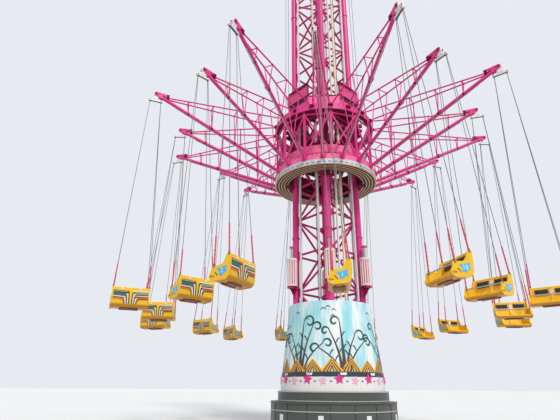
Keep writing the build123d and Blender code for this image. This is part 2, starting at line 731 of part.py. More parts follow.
def crown_sheaves():
    """Two grooved sheaves one above the other over each pair of ropes."""
    sheaves = []
    for corner in CORNERS:
        for radius, z in zip(HOIST_R, SHEAVE_Z):
            centre = radius - SHEAVE_R - HOIST_D / 2 / cos(pi / 6) - SEAT
            wheel = roller(SHEAVE_R, SHEAVE_W - 8, 16)
            wheel += roller(SHEAVE_R / 6, SHEAVE_W + CHEEK_T - 2 * SEAT, 8)
            sheaves.append(turned(Pos(centre, 0, z) * wheel, corner))
    return sheaves


def crown_hood():
    """The low pyramid hood over the sheaves."""
    half = LEG_SPACING / 2 + LEG_D / 2 + CROWN_OVER
    hood = extrude(Rectangle(2 * half, 2 * half), HOOD_H, taper=30)
    return [Pos(0, 0, HOOD_FOOT_Z) * hood]


west, east, heads = arms()
NODES = {
    "foundation_plinth": foundation_plinth(),
    "star_skirt": star_skirt(),
    "base_cone": base_cone(),
    "tower_legs": tower_legs(),
    "guide_rails": guide_rails(),
    "cable_trunking": cable_trunking(),
    "landing_buffers": landing_buffers(),
    "buffer_rods": buffer_rods(),
    "buffer_brackets": buffer_brackets(),
    "crown_frame": crown_frame(),
    "crown_sheaves": crown_sheaves(),
    "crown_hood": crown_hood(),
    "hoist_ropes_inner": hoist_ropes(HOIST_R[0], SHEAVE_Z[0]),
    "hoist_ropes_outer": hoist_ropes(HOIST_R[1], SHEAVE_Z[1]),
    "carriage_frame": carriage_frame(),
    "guide_rollers": guide_rollers(),
    "bearing_ring": bearing_ring(),
    "carriage_deck": carriage_deck(),
    "carriage_panels": carriage_panels(),
    "rope_anchors": rope_anchors(),
    "slewing_ring": slewing_ring(),
    "lower_ring": lower_ring(),
    "upper_ring": upper_ring(),
    "cage_posts": cage_posts(),
    "cage_braces": cage_braces(),
    "arms_west": west,
    "arms_east": east,
    "arm_heads": heads,
    "striped_soffit": striped_soffit(),
    "soffit_rim": soffit_rim(),
}
for face_deg in FACES:
    NODES["bracing_" + FACE_NAMES[face_deg]] = tower_bracing(face_deg)
KINDS = {0: chair(SHORT_R, SHORT_Z), 1: chair(LONG_R, LONG_Z)}
for number in range(ARMS):
    NODES[f"chair_{number + 1:02d}"] = [turned(piece, arm_angle(number)) for piece in KINDS[number % 2]]

os.makedirs("parts", exist_ok=True)
for name, pieces in NODES.items():
    solids = [solid for piece in pieces for solid in piece.solids()]
    export_step(Compound(children=solids), f"parts/{name}.step")
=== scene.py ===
"""Chair swing ride: the finishes and the detailed pieces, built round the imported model.

Metres, +Z up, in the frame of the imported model. Local frames: an arm lies along +X with the axis of the
tower at the origin, and a chair faces -Y with its lowest point at the origin.
"""

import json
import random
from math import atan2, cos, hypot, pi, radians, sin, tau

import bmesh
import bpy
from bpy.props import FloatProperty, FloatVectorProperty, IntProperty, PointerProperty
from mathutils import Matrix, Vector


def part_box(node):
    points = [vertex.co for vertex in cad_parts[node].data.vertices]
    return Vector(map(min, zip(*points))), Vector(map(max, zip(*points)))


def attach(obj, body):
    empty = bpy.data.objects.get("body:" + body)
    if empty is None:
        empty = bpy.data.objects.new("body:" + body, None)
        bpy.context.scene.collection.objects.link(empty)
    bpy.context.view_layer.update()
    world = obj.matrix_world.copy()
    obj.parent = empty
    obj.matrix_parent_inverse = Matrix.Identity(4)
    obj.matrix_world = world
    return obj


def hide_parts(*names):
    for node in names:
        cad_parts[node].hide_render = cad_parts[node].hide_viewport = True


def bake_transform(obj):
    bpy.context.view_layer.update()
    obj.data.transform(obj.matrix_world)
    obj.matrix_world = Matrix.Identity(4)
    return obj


bl_info = {
    "name": "Chair swing ride",
    "version": (1, 0, 0),
    "blender": (4, 5, 0),
    "location": "3D View > Sidebar > Swing ride",
    "description": "Builds a tower swing ride with eighteen double chairs round its packed frame",
    "category": "Object",
}

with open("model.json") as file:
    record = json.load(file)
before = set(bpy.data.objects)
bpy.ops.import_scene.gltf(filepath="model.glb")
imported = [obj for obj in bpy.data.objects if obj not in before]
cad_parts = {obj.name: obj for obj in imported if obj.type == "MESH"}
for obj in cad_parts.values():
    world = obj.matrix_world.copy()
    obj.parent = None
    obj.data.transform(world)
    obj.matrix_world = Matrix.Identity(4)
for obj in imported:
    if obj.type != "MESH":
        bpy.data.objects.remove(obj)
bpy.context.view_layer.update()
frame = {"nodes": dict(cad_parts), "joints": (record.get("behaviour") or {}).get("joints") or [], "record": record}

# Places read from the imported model
SWINGS = [j for j in frame["joints"] if j["name"].startswith("swing_")]
SLOTS = {m["slot"]: m["base_color"] for m in frame["record"]["materials"]}
LONG_Z = max(j["pos_m"][2] for j in SWINGS)
CONE_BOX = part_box("base_cone")
SKIRT_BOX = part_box("star_skirt")
PLINTH_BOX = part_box("foundation_plinth")
PANEL_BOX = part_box("carriage_panels")
UPPER_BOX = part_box("upper_ring")
LOWER_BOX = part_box("lower_ring")
RIM_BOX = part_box("soffit_rim")
BEARING_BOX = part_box("bearing_ring")

# Tower sizes
LEG_SPACING = 1.898
LEG_R = 0.14
NODE_Z = 2.016
PANEL_H = 1.557
TOWER_TOP = 36.27
BRACE_R = 0.048
RAIL_X = 1.069
RAIL_Y = 0.5276
PANEL_CORNER = 0.645
ROLLER_R = 0.1
ROLLER_Z = (11.25, 12.65)
FRAMES = 4
FRAME_SHARE = 0.207
UPPER_TIP_BELOW = 0.1
BACK_PROFILE = ((0.0, 0.18), (0.09, 0.28), (0.38, 0.318), (0.64, 0.33))
SHEAVE_Z = (36.9, 37.7)
TRUNK_X = -0.083
STEP_R = 2.07
FOOT_PLATE_R = 0.23
FOOT_PLATE_T = 0.04
FLANGE_R = 0.165
FLANGE_T = 0.027
FLANGE_GAP = 0.006
FLANGE_BOLTS_R = 0.15
GUSSET = ((0.0, -0.16), (0.1, -0.16), (0.26, -0.05), (0.26, 0.05), (0.1, 0.16), (0.0, 0.16))
GUSSET_T = 0.012
BUFFER_R = 0.2
STAVE_R = 0.031
HOIST_R = 0.012
CONE_FOOT_R = 1.92
CONE_TOP_R = 1.63
CONE_MID_R = 1.8
SHEAVE_OUT_R = (1.2568, 1.3968)
HOOD_SLOPE = 0.577

# Arm sizes
RING_OUT_R = 2.25
UPPER_RING_OUT_R = 2.28
LOWER_FOOT_Z = 10.235
UPPER_FOOT_Z = 12.74
UPPER_FOOT_DEG = 9.1
HEAD_L = 0.52
HEAD_W = 0.18
HEAD_SLOT = 0.14
HEAD_NOSE_R = 0.095
PIN_R = 0.025
CHORD_R = 0.07
UPPER_CHORD_R = 0.03
WEB_R = 0.02
FRAME_BAND_R = 0.079
CONDUIT_R = 0.017
CONDUIT_BELOW = 0.086
COLLAR_SHARE = 0.64
COLLAR_R = 0.1

# Chair and hanger sizes
DROP = 8.514
TRAIL_DEG = 3.0
SPREADER_L = 0.48
SPREADER_W = 0.056
SPREADER_DROP = 0.3
SOCKET_X = SPREADER_L / 2 - 0.025
CHAIR_W = 1.19
CHAIR_D = 0.66
CHAIR_H = 0.64
ARM_TOP = 0.38
WALL_T = 0.046
PAN_Z = 0.11

# Bands on the two halves of a chair's back: height, width and colour
TEAL_BANDS = (
    (0.51, 0.02, "black"), (0.487, 0.022, "tan"), (0.462, 0.026, "black"), (0.409, 0.078, "teal"),
    (0.356, 0.024, "black"), (0.33, 0.03, "white"), (0.3, 0.028, "black"), (0.27, 0.03, "orange"),
    (0.243, 0.022, "tan"))
OLIVE_BANDS = (
    (0.512, 0.024, "white"), (0.486, 0.028, "black"), (0.459, 0.024, "grey"), (0.427, 0.04, "olive"),
    (0.393, 0.026, "black"), (0.366, 0.028, "white"), (0.338, 0.026, "black"), (0.309, 0.032, "orange"),
    (0.28, 0.024, "black"), (0.256, 0.024, "tan"))


class SwingRideSteel(bpy.types.PropertyGroup):
    """Colours of the painted steel."""
    pink: FloatVectorProperty(
        name="Pink", description="Paint of the tower and the arms", default=(0.8, 0.04, 0.28), min=0, max=1,
        subtype="COLOR")
    # Painted shade: a darker copy of the pink, which stands for the shade on the bracing.
    deep_pink: FloatVectorProperty(
        name="Shaded pink", description="Paint of the bracing and the rings", default=(0.58, 0.02, 0.17),
        min=0, max=1, subtype="COLOR")
    rail: FloatVectorProperty(
        name="Rails", description="Paint of the guide rails",
        default=SLOTS["rail_white"], min=0, max=1, subtype="COLOR")


class SwingRideBase(bpy.types.PropertyGroup):
    """The colour, the counts and the sizes of the painting on the base."""
    wash: FloatVectorProperty(
        name="Wash", description="Main colour of the cone", default=(0.5, 0.85, 0.9), min=0, max=1,
        subtype="COLOR")
    peaks: IntProperty(name="Peaks", description="Peaks in the zigzag round the cone", default=17, min=6)
    stars: IntProperty(name="Stars", description="Stars of each kind round the skirt", default=11, min=3)
    star_radius: FloatProperty(
        name="Star radius", description="Radius of the points of a star", default=0.19, unit="LENGTH")


class SwingRideChairs(bpy.types.PropertyGroup):
    """Colours and sizes of the chairs."""
    shell: FloatVectorProperty(
        name="Shell", description="Colour of the moulded chairs", default=(0.9, 0.52, 0.008), min=0, max=1,
        subtype="COLOR")
    patch: FloatVectorProperty(
        name="Patch", description="Colour behind the chair numbers", default=(0.06, 0.5, 0.9), min=0,
        max=1, subtype="COLOR")
    rope: FloatProperty(
        name="Rope", description="Diameter of the suspension ropes", default=0.02, unit="LENGTH")
    sleeve: FloatProperty(
        name="Sleeve", description="Length of the soft sleeve on a rope", default=0.8, unit="LENGTH")


class SwingRideStage(bpy.types.PropertyGroup):
    """The colour of the floor, and the lens and height of the camera."""
    floor: FloatVectorProperty(
        name="Floor", description="Colour of the floor", default=(0.78, 0.78, 0.77), min=0, max=1,
        subtype="COLOR")
    lens: FloatProperty(name="Lens", description="Focal length in millimetres", default=28.256, min=5)
    eye: FloatProperty(name="Eye", description="Height of the camera", default=1.5, unit="LENGTH")


# Shader helpers
def add(tree, kind, inputs=None, **settings):
    """A new node, with values or sockets put into its inputs."""
    made = tree.nodes.new("ShaderNode" + kind)
    for name, value in settings.items():
        setattr(made, name, value)
    for name, value in (inputs or {}).items():
        if isinstance(value, bpy.types.NodeSocket):
            tree.links.new(value, made.inputs[name])
        else:
            made.inputs[name].default_value = value
    return made


def calc(tree, operation, a, b=0.0):
    """The output of a math node."""
    return add(tree, "Math", {0: a, 1: b}, operation=operation).outputs[0]


def mixed(tree, factor, a, b):
    """The output of a colour mix."""
    return add(tree, "Mix", {0: factor, 6: a, 7: b}, data_type="RGBA").outputs[2]


def rgba(colour):
    """A colour with full alpha."""
    return (*tuple(colour)[:3], 1.0)


def new_group(name, inputs, outputs):
    """An empty shader node group with named sockets, and its two end nodes."""
    tree = bpy.data.node_groups.new(name, "ShaderNodeTree")
    for label, kind, value in inputs:
        socket = tree.interface.new_socket(name=label, in_out="INPUT", socket_type="NodeSocket" + kind)
        socket.default_value = value
    for label, kind in outputs:
        tree.interface.new_socket(name=label, in_out="OUTPUT", socket_type="NodeSocket" + kind)
    return tree, tree.nodes.new("NodeGroupInput"), tree.nodes.new("NodeGroupOutput")


def weather_group():
    """Outdoor paint: slow fading, rain streaks down the sides and a fine uneven gloss."""
    tree, given, out = new_group(
        "Outdoor paint",
        [("Colour", "Color", (0.5, 0.5, 0.5, 1)), ("Streak colour", "Color", (0.1, 0.1, 0.1, 1)),
         ("Fading", "Float", 0.1), ("Streaks", "Float", 0.2), ("Gloss", "Float", 0.35)],
        [("Colour", "Color"), ("Roughness", "Float"), ("Height", "Float")])
    place = add(tree, "TexCoord").outputs["Object"]
    slow = add(tree, "TexNoise", {"Vector": place, "Scale": 1.3, "Detail": 3.0}).outputs["Fac"]
    long = add(tree, "Mapping", {"Vector": place, "Scale": (9.0, 9.0, 0.6)}).outputs[0]
    rain = add(tree, "TexNoise", {"Vector": long, "Scale": 1.0, "Detail": 4.0}).outputs["Fac"]
    rain = add(tree, "MapRange", {"Value": rain, "From Min": 0.52, "From Max": 0.78}).outputs[0]
    fine = add(tree, "TexNoise", {"Vector": place, "Scale": 45.0, "Detail": 2.0}).outputs["Fac"]
    pale = mixed(tree, 0.5, given.outputs["Colour"], (0.9, 0.88, 0.88, 1))
    fade = calc(tree, "MULTIPLY", slow, given.outputs["Fading"])
    colour = mixed(tree, fade, given.outputs["Colour"], pale)
    streak = calc(tree, "MULTIPLY", rain, given.outputs["Streaks"])
    colour = mixed(tree, streak, colour, given.outputs["Streak colour"])
    rough = calc(tree, "ADD", given.outputs["Gloss"], calc(tree, "MULTIPLY", fine, 0.12))
    rough = calc(tree, "ADD", rough, calc(tree, "MULTIPLY", streak, 0.3))
    tree.links.new(colour, out.inputs["Colour"])
    tree.links.new(rough, out.inputs["Roughness"])
    tree.links.new(calc(tree, "ADD", fine, calc(tree, "MULTIPLY", slow, 0.5)), out.inputs["Height"])
    return tree


def rings_group():
    """Whether a value lies in the first part of a repeating ring or sector."""
    tree, given, out = new_group(
        "Even rings",
        [("Value", "Float", 0.0), ("Start", "Float", 0.0), ("Pitch", "Float", 0.1), ("Share", "Float", 0.5)],
        [("Mask", "Float")])
    turns = calc(tree, "DIVIDE", calc(tree, "SUBTRACT", given.outputs["Value"], given.outputs["Start"]),
                 given.outputs["Pitch"])
    part = calc(tree, "FRACT", turns)
    tree.links.new(calc(tree, "LESS_THAN", part, given.outputs["Share"]), out.inputs["Mask"])
    return tree


def group_node(tree, name, inputs):
    """A node of a shader group, made on first use."""
    made = bpy.data.node_groups.get(name)
    if made is None:
        made = {"Outdoor paint": weather_group, "Even rings": rings_group}[name]()
    return add(tree, "Group", inputs, node_tree=made)


def new_material(name):
    """An empty node material and its shader."""
    made = bpy.data.materials.new(name)
    made.use_nodes = True
    return made, made.node_tree, made.node_tree.nodes["Principled BSDF"]


def painted(name, colour, streak=(0.12, 0.1, 0.1), fading=0.06, streaks=0.2, gloss=0.34, metallic=0.0,
            bump=0.002, coat=0.0, shine=0.3):
    """Weathered outdoor paint. The colour may be a function that makes a socket in the node tree."""
    found = bpy.data.materials.get(name)
    if found:
        return found
    made, tree, shader = new_material(name)
    base = colour(tree) if callable(colour) else rgba(colour)
    paint = group_node(tree, "Outdoor paint", {
        "Colour": base, "Streak colour": rgba(streak), "Fading": fading, "Streaks": streaks, "Gloss": gloss})
    bumps = add(tree, "Bump", {"Height": paint.outputs["Height"], "Distance": bump, "Strength": 0.5})
    tree.links.new(paint.outputs["Colour"], shader.inputs["Base Color"])
    tree.links.new(paint.outputs["Roughness"], shader.inputs["Roughness"])
    tree.links.new(bumps.outputs[0], shader.inputs["Normal"])
    shader.inputs["Metallic"].default_value = metallic
    shader.inputs["Specular IOR Level"].default_value = shine
    shader.inputs["Coat Weight"].default_value = coat
    return made


def radius_of(tree):
    """Distance from the axis of the tower, the angle about it as a share of a turn, and the height."""
    place = add(tree, "TexCoord").outputs["Object"]
    parts = add(tree, "SeparateXYZ", {0: place}).outputs
    square = calc(tree, "ADD", calc(tree, "MULTIPLY", parts[0], parts[0]),
                  calc(tree, "MULTIPLY", parts[1], parts[1]))
    turn = calc(tree, "DIVIDE", calc(tree, "ARCTAN2", parts[1], parts[0]), tau)
    return calc(tree, "SQRT", square), turn, parts[2]


def steel():
    """The scene's steel settings."""
    return bpy.context.scene.swing_ride_steel


def pink():
    return painted("Pink paint", steel().pink, streak=(0.3, 0.02, 0.1))


# Painted shade: a darker copy of the pink for the bracing and the buffer brackets.
def deep_pink():
    return painted("Shaded pink paint", steel().deep_pink, streak=(0.14, 0.01, 0.05))


# Painted light: a lighter copy of the pink, which stands for the sunlit look of the lower ring.
def light_pink():
    return painted("Sunlit pink paint", (0.95, 0.19, 0.42), streak=(0.45, 0.05, 0.15))


def maroon():
    return painted("Maroon paint", (0.17, 0.004, 0.035), streak=(0.05, 0.01, 0.02), gloss=0.55, fading=0.02,
                   shine=0.1)


def white():
    return painted("White paint", (0.86, 0.86, 0.85), streak=(0.4, 0.38, 0.35), streaks=0.15)


def rail_white():
    return painted("Rail paint", steel().rail, streak=(0.4, 0.38, 0.33), streaks=0.5, gloss=0.35)


def galvanised():
    return painted("Galvanised steel", (0.42, 0.43, 0.44), metallic=0.9, streaks=0.15, gloss=0.35)


def dark_steel():
    return painted("Dark steel", (0.05, 0.045, 0.045), metallic=0.3, gloss=0.45)


def black_rubber():
    return painted("Black rubber", (0.015, 0.015, 0.017), gloss=0.5, streaks=0.1, bump=0.004)


def rope_grey():
    """Steel rope, whose lay shows as slanting bands along it."""
    def strands(tree):
        place = add(tree, "TexCoord").outputs["Object"]
        lay = add(tree, "TexWave", {"Vector": place, "Scale": 14.0, "Distortion": 1.0},
                  bands_direction="DIAGONAL")
        return mixed(tree, lay.outputs["Fac"], (0.1, 0.1, 0.08, 1), (0.26, 0.26, 0.21, 1))
    return painted("Rope steel", strands, metallic=0.3, gloss=0.45, streaks=0.1)


def band_black():
    return painted("Band black", (0.02, 0.018, 0.016), gloss=0.4)


# Mesh helpers
def frame_of(axis):
    """Two directions square to an axis, the first of them level."""
    axis = Vector(axis).normalized()
    side = axis.cross(Vector((0, 0, 1)))
    if side.length < 1e-4:
        side = Vector((1, 0, 0))
    side.normalize()
    return side, side.cross(axis)


def merge(bm, part, matrix):
    """Turns a part into its place, adds it to a mesh in the making and frees it."""
    bmesh.ops.transform(part, matrix=matrix, verts=part.verts)
    spare = bpy.data.meshes.new("part")
    part.to_mesh(spare)
    part.free()
    bm.from_mesh(spare)
    bpy.data.meshes.remove(spare)


def loop_pair(bm, low, high):
    """Faces between two rings of vertices with equal counts."""
    for i in range(len(low)):
        j = (i + 1) % len(low)
        bm.faces.new((low[i], low[j], high[j], high[i]))


def slab(bm, outline, near, far):
    """A flat plate: the outline gives points, near and far turn one into its two ends."""
    low = [bm.verts.new(near(p)) for p in outline]
    high = [bm.verts.new(far(p)) for p in outline]
    loop_pair(bm, low, high)
    bm.faces.new(reversed(low))
    bm.faces.new(high)


def tube(bm, start, end, sizes, sides):
    """A round bar with an evenly spaced ring of vertices for each size, closed at both ends."""
    start, end = Vector(start), Vector(end)
    side, up = frame_of(end - start)
    rings = []
    for k, size in enumerate(sizes):
        centre = start.lerp(end, k / (len(sizes) - 1))
        rings.append([bm.verts.new(centre + size * (side * cos(tau * i / sides) + up * sin(tau * i / sides)))
                      for i in range(sides)])
    for low, high in zip(rings, rings[1:]):
        loop_pair(bm, low, high)
    bm.faces.new(reversed(rings[0]))
    bm.faces.new(rings[-1])


def box(bm, low, high):
    """A box between two corners."""
    spots = [bm.verts.new((x, y, z)) for z in (low[2], high[2]) for x, y in (
        (low[0], low[1]), (high[0], low[1]), (high[0], high[1]), (low[0], high[1]))]
    loop_pair(bm, spots[:4], spots[4:])
    bm.faces.new(reversed(spots[:4]))
    bm.faces.new(spots[4:])


def lathe(bm, outline, steps, centre=(0, 0)):
    """A closed outline of radius and height turned about an upright axis."""
    rings = []
    for k in range(steps):
        c, s = cos(tau * k / steps), sin(tau * k / steps)
        rings.append([bm.verts.new((centre[0] + r * c, centre[1] + r * s, z)) for r, z in outline])
    for k in range(steps):
        loop_pair(bm, rings[k], rings[(k + 1) % steps])


def rod(bm, start, end, radius, sides, steps=1):
    """A round bar between two points, closed at both ends."""
    tube(bm, start, end, [radius] * (steps + 1), sides)


def on_circle(radius, angle, z, centre=(0, 0)):
    """A point round an upright axis."""
    return Vector((centre[0] + radius * cos(angle), centre[1] + radius * sin(angle), z))


def at_angle(degrees_ccw):
    """A turn about the axis of the tower."""
    return Matrix.Rotation(radians(degrees_ccw), 4, "Z")


def bolt_circle(bm, centre, radius, count, low, high, size, offset=0.0):
    """Upright bolts on a circle, between two heights."""
    for k in range(count):
        a = tau * (k + offset) / count
        rod(bm, on_circle(radius, a, low, centre), on_circle(radius, a, high, centre), size, 6)


def rounded(points, radius):
    """A closed outline with its corners turned into arcs."""
    made = []
    count = len(points)
    for i in range(count):
        before, here, after = (Vector(points[(i + d) % count]) for d in (-1, 0, 1))
        into, out = here - before, after - here
        reach = min(radius, into.length * 0.45, out.length * 0.45)
        start = here - into.normalized() * reach
        end = here + out.normalized() * reach
        for share in (0, 0.25, 0.5, 0.75, 1):
            made.append(start.lerp(here, share).lerp(here.lerp(end, share), share))
    return [tuple(p) for p in made]


def turned_box(bm, low, high, turn):
    """A box between two corners, turned into its place."""
    part = bmesh.new()
    box(part, low, high)
    merge(bm, part, turn)


def wrapped(bm, outline, radius, thick):
    """A plate bent round the axis of the tower. The outline gives angles and heights."""
    slab(bm, outline, lambda p: on_circle(radius, *p), lambda p: on_circle(radius + thick, *p))


def cross_plate(bm, outline, near_y, far_y, origin=(0, 0)):
    """A plate square to Y. The outline gives distances along X and heights from an origin."""
    slab(bm, outline, lambda p: (origin[0] + p[0], near_y, origin[1] + p[1]),
         lambda p: (origin[0] + p[0], far_y, origin[1] + p[1]))


def piece(name, bm, body, material, nodes=(), matrix=None, bevel=0.0):
    """Turns built geometry into a named piece on its body, or on no body where it spans two."""
    bmesh.ops.recalc_face_normals(bm, faces=bm.faces)
    if matrix is not None:
        bmesh.ops.transform(bm, matrix=matrix, verts=bm.verts)
    mesh = bpy.data.meshes.new(name)
    bm.to_mesh(mesh)
    bm.free()
    mesh.polygons.foreach_set("use_smooth", [True] * len(mesh.polygons))
    mesh.set_sharp_from_angle(angle=radians(38))
    mesh.materials.append(material)
    made = bpy.data.objects.new(name, mesh)
    bpy.context.scene.collection.objects.link(made)
    if bevel:
        edge = made.modifiers.new("Rounded edges", "BEVEL")
        edge.width = bevel
        edge.segments = 2
        edge.limit_method = "ANGLE"
        edge.harden_normals = True
    if body:
        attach(made, body)
    if nodes:
        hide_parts(*nodes)
    return made


def dress(node, material):
    """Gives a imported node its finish."""
    cad = frame["nodes"][node]
    if not cad.material_slots:
        cad.data.materials.append(material)
    for place in cad.material_slots:
        place.link = "OBJECT"
        place.material = material


def chair_base(joint):
    """Where a chair and its arm stand: the angle, the tip's radius and the tip's height."""
    x, y, z = joint["pos_m"]
    return atan2(y, x), hypot(x, y), z


# Tower
def leg_points():
    half = LEG_SPACING / 2
    return [(x, y) for x in (-half, half) for y in (-half, half)]


def build_legs():
    """Four round legs with foot plates and bolted flanges."""
    low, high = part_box("tower_legs")
    bm = bmesh.new()
    for x, y in leg_points():
        rod(bm, (x, y, low.z), (x, y, high.z), LEG_R, 28)
        rod(bm, (x, y, low.z), (x, y, low.z + FOOT_PLATE_T), FOOT_PLATE_R, 24)
        z = NODE_Z + PANEL_H * 3.5
        while z < TOWER_TOP - PANEL_H:
            for foot in (z - FLANGE_GAP / 2 - FLANGE_T, z + FLANGE_GAP / 2):
                rod(bm, (x, y, foot), (x, y, foot + FLANGE_T), FLANGE_R, 24)
            bolt_circle(bm, (x, y), FLANGE_BOLTS_R, 10, z - 0.045, z + 0.045, 0.01)
            z += PANEL_H * 4
    piece("leg_tubes", bm, "tower", pink(), ["tower_legs"])


def build_bracing():
    """The zigzag and level tubes of each face, with gusset plates at their ends."""
    half = LEG_SPACING / 2
    reach = half - LEG_R
    count = int((TOWER_TOP - 2 * BRACE_R - NODE_Z) / PANEL_H)
    for name, face in (("east", 0), ("north", 90), ("west", 180), ("south", 270)):
        bm = bmesh.new()
        swap = 1 if face in (0, 180) else -1
        for k in range(count + 1):
            z = NODE_Z + k * PANEL_H
            side = swap if k % 2 else -swap
            rod(bm, (half, -reach, z), (half, reach, z), BRACE_R, 12)
            for end in (-1, 1):
                outline = [(end * (reach - inward), z + up) for inward, up in GUSSET]
                slab(bm, outline, lambda p: (half - GUSSET_T / 2, p[0], p[1]),
                     lambda p: (half + GUSSET_T / 2, p[0], p[1]))
            if k < count:
                rod(bm, (half, side * reach, z), (half, -side * reach, z + PANEL_H), BRACE_R, 12)
        piece("lattice_" + name, bm, "tower", deep_pink(), ["bracing_" + name],
              at_angle(face))


def build_buffers():
    """Landing buffers: a red body behind cream staves and collars, with a foot, a rod and a pad."""
    low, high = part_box("landing_buffers")
    rod_low, rod_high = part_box("buffer_rods")
    core_r = BUFFER_R - 0.018
    cores, staves, feet, rods, pads = (bmesh.new() for _ in range(5))
    for centre in buffer_centres(frame["nodes"]["landing_buffers"]):
        x, y = centre
        rod(cores, (x, y, low.z + 0.05), (x, y, high.z - 0.02), core_r, 32)
        for k in range(12):
            a = tau * k / 12
            rod(staves, on_circle(core_r, a, low.z + 0.09, centre),
                on_circle(core_r, a, high.z - 0.09, centre), STAVE_R, 8)
        for z0, z1 in ((low.z + 0.045, low.z + 0.12), (high.z - 0.11, high.z)):
            lathe(staves, [(0.0, z0), (0.205, z0), (0.214, z0 + 0.015), (0.214, z1 - 0.015), (BUFFER_R, z1),
                           (0.0, z1)], 36, centre)
        lathe(feet, [(0.0, low.z), (0.19, low.z), (0.2, low.z + 0.045), (0.0, low.z + 0.045)], 36, centre)
        bolt_circle(feet, centre, 0.17, 8, high.z - 0.01, high.z + 0.016, 0.013, 0.5)
        rod(rods, (x, y, rod_low.z), (x, y, rod_high.z - 0.05), 0.06, 24)
        lathe(rods, [(0.0, rod_low.z), (0.085, rod_low.z), (0.085, rod_low.z + 0.04),
                     (0.0, rod_low.z + 0.05)], 24, centre)
        lathe(pads, [(0.0, rod_high.z - 0.06), (0.11, rod_high.z - 0.06), (0.12, rod_high.z - 0.045),
                     (0.12, rod_high.z - 0.012), (0.11, rod_high.z), (0.0, rod_high.z)], 28, centre)
    piece("buffer_cores", cores, "tower", painted("Buffer red", (0.68, 0.06, 0.16)),
          ["landing_buffers"])
    piece("buffer_staves", staves, "tower", painted("Buffer cream", (0.86, 0.8, 0.74)))
    piece("buffer_feet", feet, "tower", maroon())
    piece("buffer_plungers", rods, "tower", galvanised(), ["buffer_rods"])
    piece("buffer_pads", pads, "tower", painted("Pad pink", (0.75, 0.1, 0.2)))


def buffer_centres(cad):
    """The axes of the buffers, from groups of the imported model's vertices."""
    found = []
    for vertex in cad.data.vertices:
        spot = vertex.co.to_2d()
        for group in found:
            if (group[0] - spot).length < 0.6:
                group[1].append(spot)
                break
        else:
            found.append((spot, [spot]))
    centres = []
    for _, spots in found:
        xs, ys = [p.x for p in spots], [p.y for p in spots]
        centres.append(((min(xs) + max(xs)) / 2, (min(ys) + max(ys)) / 2))
    return centres


def build_hoist_ropes():
    """The hoist ropes, which run from the crown to the carriage."""
    for name in ("hoist_ropes_inner", "hoist_ropes_outer"):
        low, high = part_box(name)
        reach = (high.x - low.x) / 2 - HOIST_R
        bm = bmesh.new()
        for sx in (-1, 1):
            for sy in (-1, 1):
                rod(bm, (sx * reach, sy * reach, high.z), (sx * reach, sy * reach, low.z), HOIST_R, 10, 24)
        made = piece(name.replace("ropes", "lines"), bm, None, rope_grey(), [name])
        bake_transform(made)


def build_crown():
    """The grooved sheaves of the crown with their spokes and pins."""
    wheels, pins = bmesh.new(), bmesh.new()
    for corner in (45, 135, 225, 315):
        for radius, z in zip(SHEAVE_OUT_R, SHEAVE_Z):
            wheel, pin = bmesh.new(), bmesh.new()
            lathe(wheel, [(0.3, -0.026), (0.37, -0.026), (0.37, -0.018), (0.35, -0.006), (0.35, 0.006),
                          (0.37, 0.018), (0.37, 0.026), (0.3, 0.026)], 48)
            lathe(wheel, [(0.03, -0.04), (0.075, -0.04), (0.075, 0.04), (0.03, 0.04)], 24)
            for k in range(6):
                a = tau * k / 6
                rod(wheel, on_circle(0.06, a, 0), on_circle(0.315, a, 0), 0.022, 8)
            rod(pin, (0, 0, -0.055), (0, 0, 0.055), 0.032, 16)
            place = at_angle(corner) @ Matrix.Translation((radius, 0, z)) @ Matrix.Rotation(pi / 2, 4, "X")
            merge(wheels, wheel, place)
            merge(pins, pin, place)
    grey = painted("Sheave grey", (0.2, 0.2, 0.21), metallic=0.6)
    piece("crown_wheels", wheels, "tower", grey, ["crown_sheaves"])
    piece("crown_pins", pins, "tower", galvanised())


def build_crown_trims():
    """The white trim and the ribs of the hood, and the bolts of the frame below it."""
    low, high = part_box("crown_hood")
    trim, ribs, bolts = bmesh.new(), bmesh.new(), bmesh.new()
    half = high.x
    top_half = half - (high.z - low.z) * HOOD_SLOPE
    for face in range(4):
        turned_box(trim, (half - 0.03, -half, low.z - 0.01), (half + 0.012, half, low.z + 0.07),
                   at_angle(90 * face))
        rod(ribs, (half, half, low.z), (top_half, top_half, high.z), 0.022, 10)
        bmesh.ops.transform(ribs, matrix=at_angle(90), verts=ribs.verts)
    for k in range(5):
        spot = (-0.5 + 0.25 * k) * top_half
        rod(ribs, (-top_half, spot, high.z), (top_half, spot, high.z), 0.01, 8)
    piece("hood_trim", trim, "tower", white())
    piece("hood_ribs", ribs, "tower", pink())
    low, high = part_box("crown_frame")
    for face in range(4):
        for k in range(9):
            spot = at_angle(90 * face) @ Vector((high.x, -0.8 + 0.2 * k, low.z + 0.1))
            rod(bolts, spot, spot + at_angle(90 * face) @ Vector((0.014, 0, 0)), 0.016, 6)
    piece("crown_bolts", bolts, "tower", dark_steel())


def build_trunking():
    """The beige duct with its joint straps, and the dark power cable beside it."""
    def duct(tree):
        parts = add(tree, "SeparateXYZ", {0: add(tree, "TexCoord").outputs["Object"]}).outputs
        cable = calc(tree, "GREATER_THAN", parts[0], TRUNK_X)
        return mixed(tree, cable, rgba(SLOTS["duct_beige"]), (0.035, 0.04, 0.04, 1))
    dress("cable_trunking", painted("Duct and cable paint", duct, streak=(0.2, 0.15, 0.1)))
    low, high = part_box("cable_trunking")
    straps = bmesh.new()
    for k in range(int((high.z - low.z) / PANEL_H)):
        z = NODE_Z + PANEL_H * (k + 0.5)
        box(straps, (low.x - 0.012, low.y - 0.006, z - 0.02), (high.x + 0.012, high.y + 0.01, z + 0.02))
    piece("trunking_straps", straps, "tower", galvanised())


# Painted base
def cone_point(turn, z, off):
    """A point just off the cone, at an angle about the axis and a height."""
    foot, top = CONE_BOX[0].z + 0.02, CONE_BOX[1].z
    share = (z - foot) / (top - foot)
    return on_circle(CONE_FOOT_R + (CONE_TOP_R - CONE_FOOT_R) * share + off, turn, z)


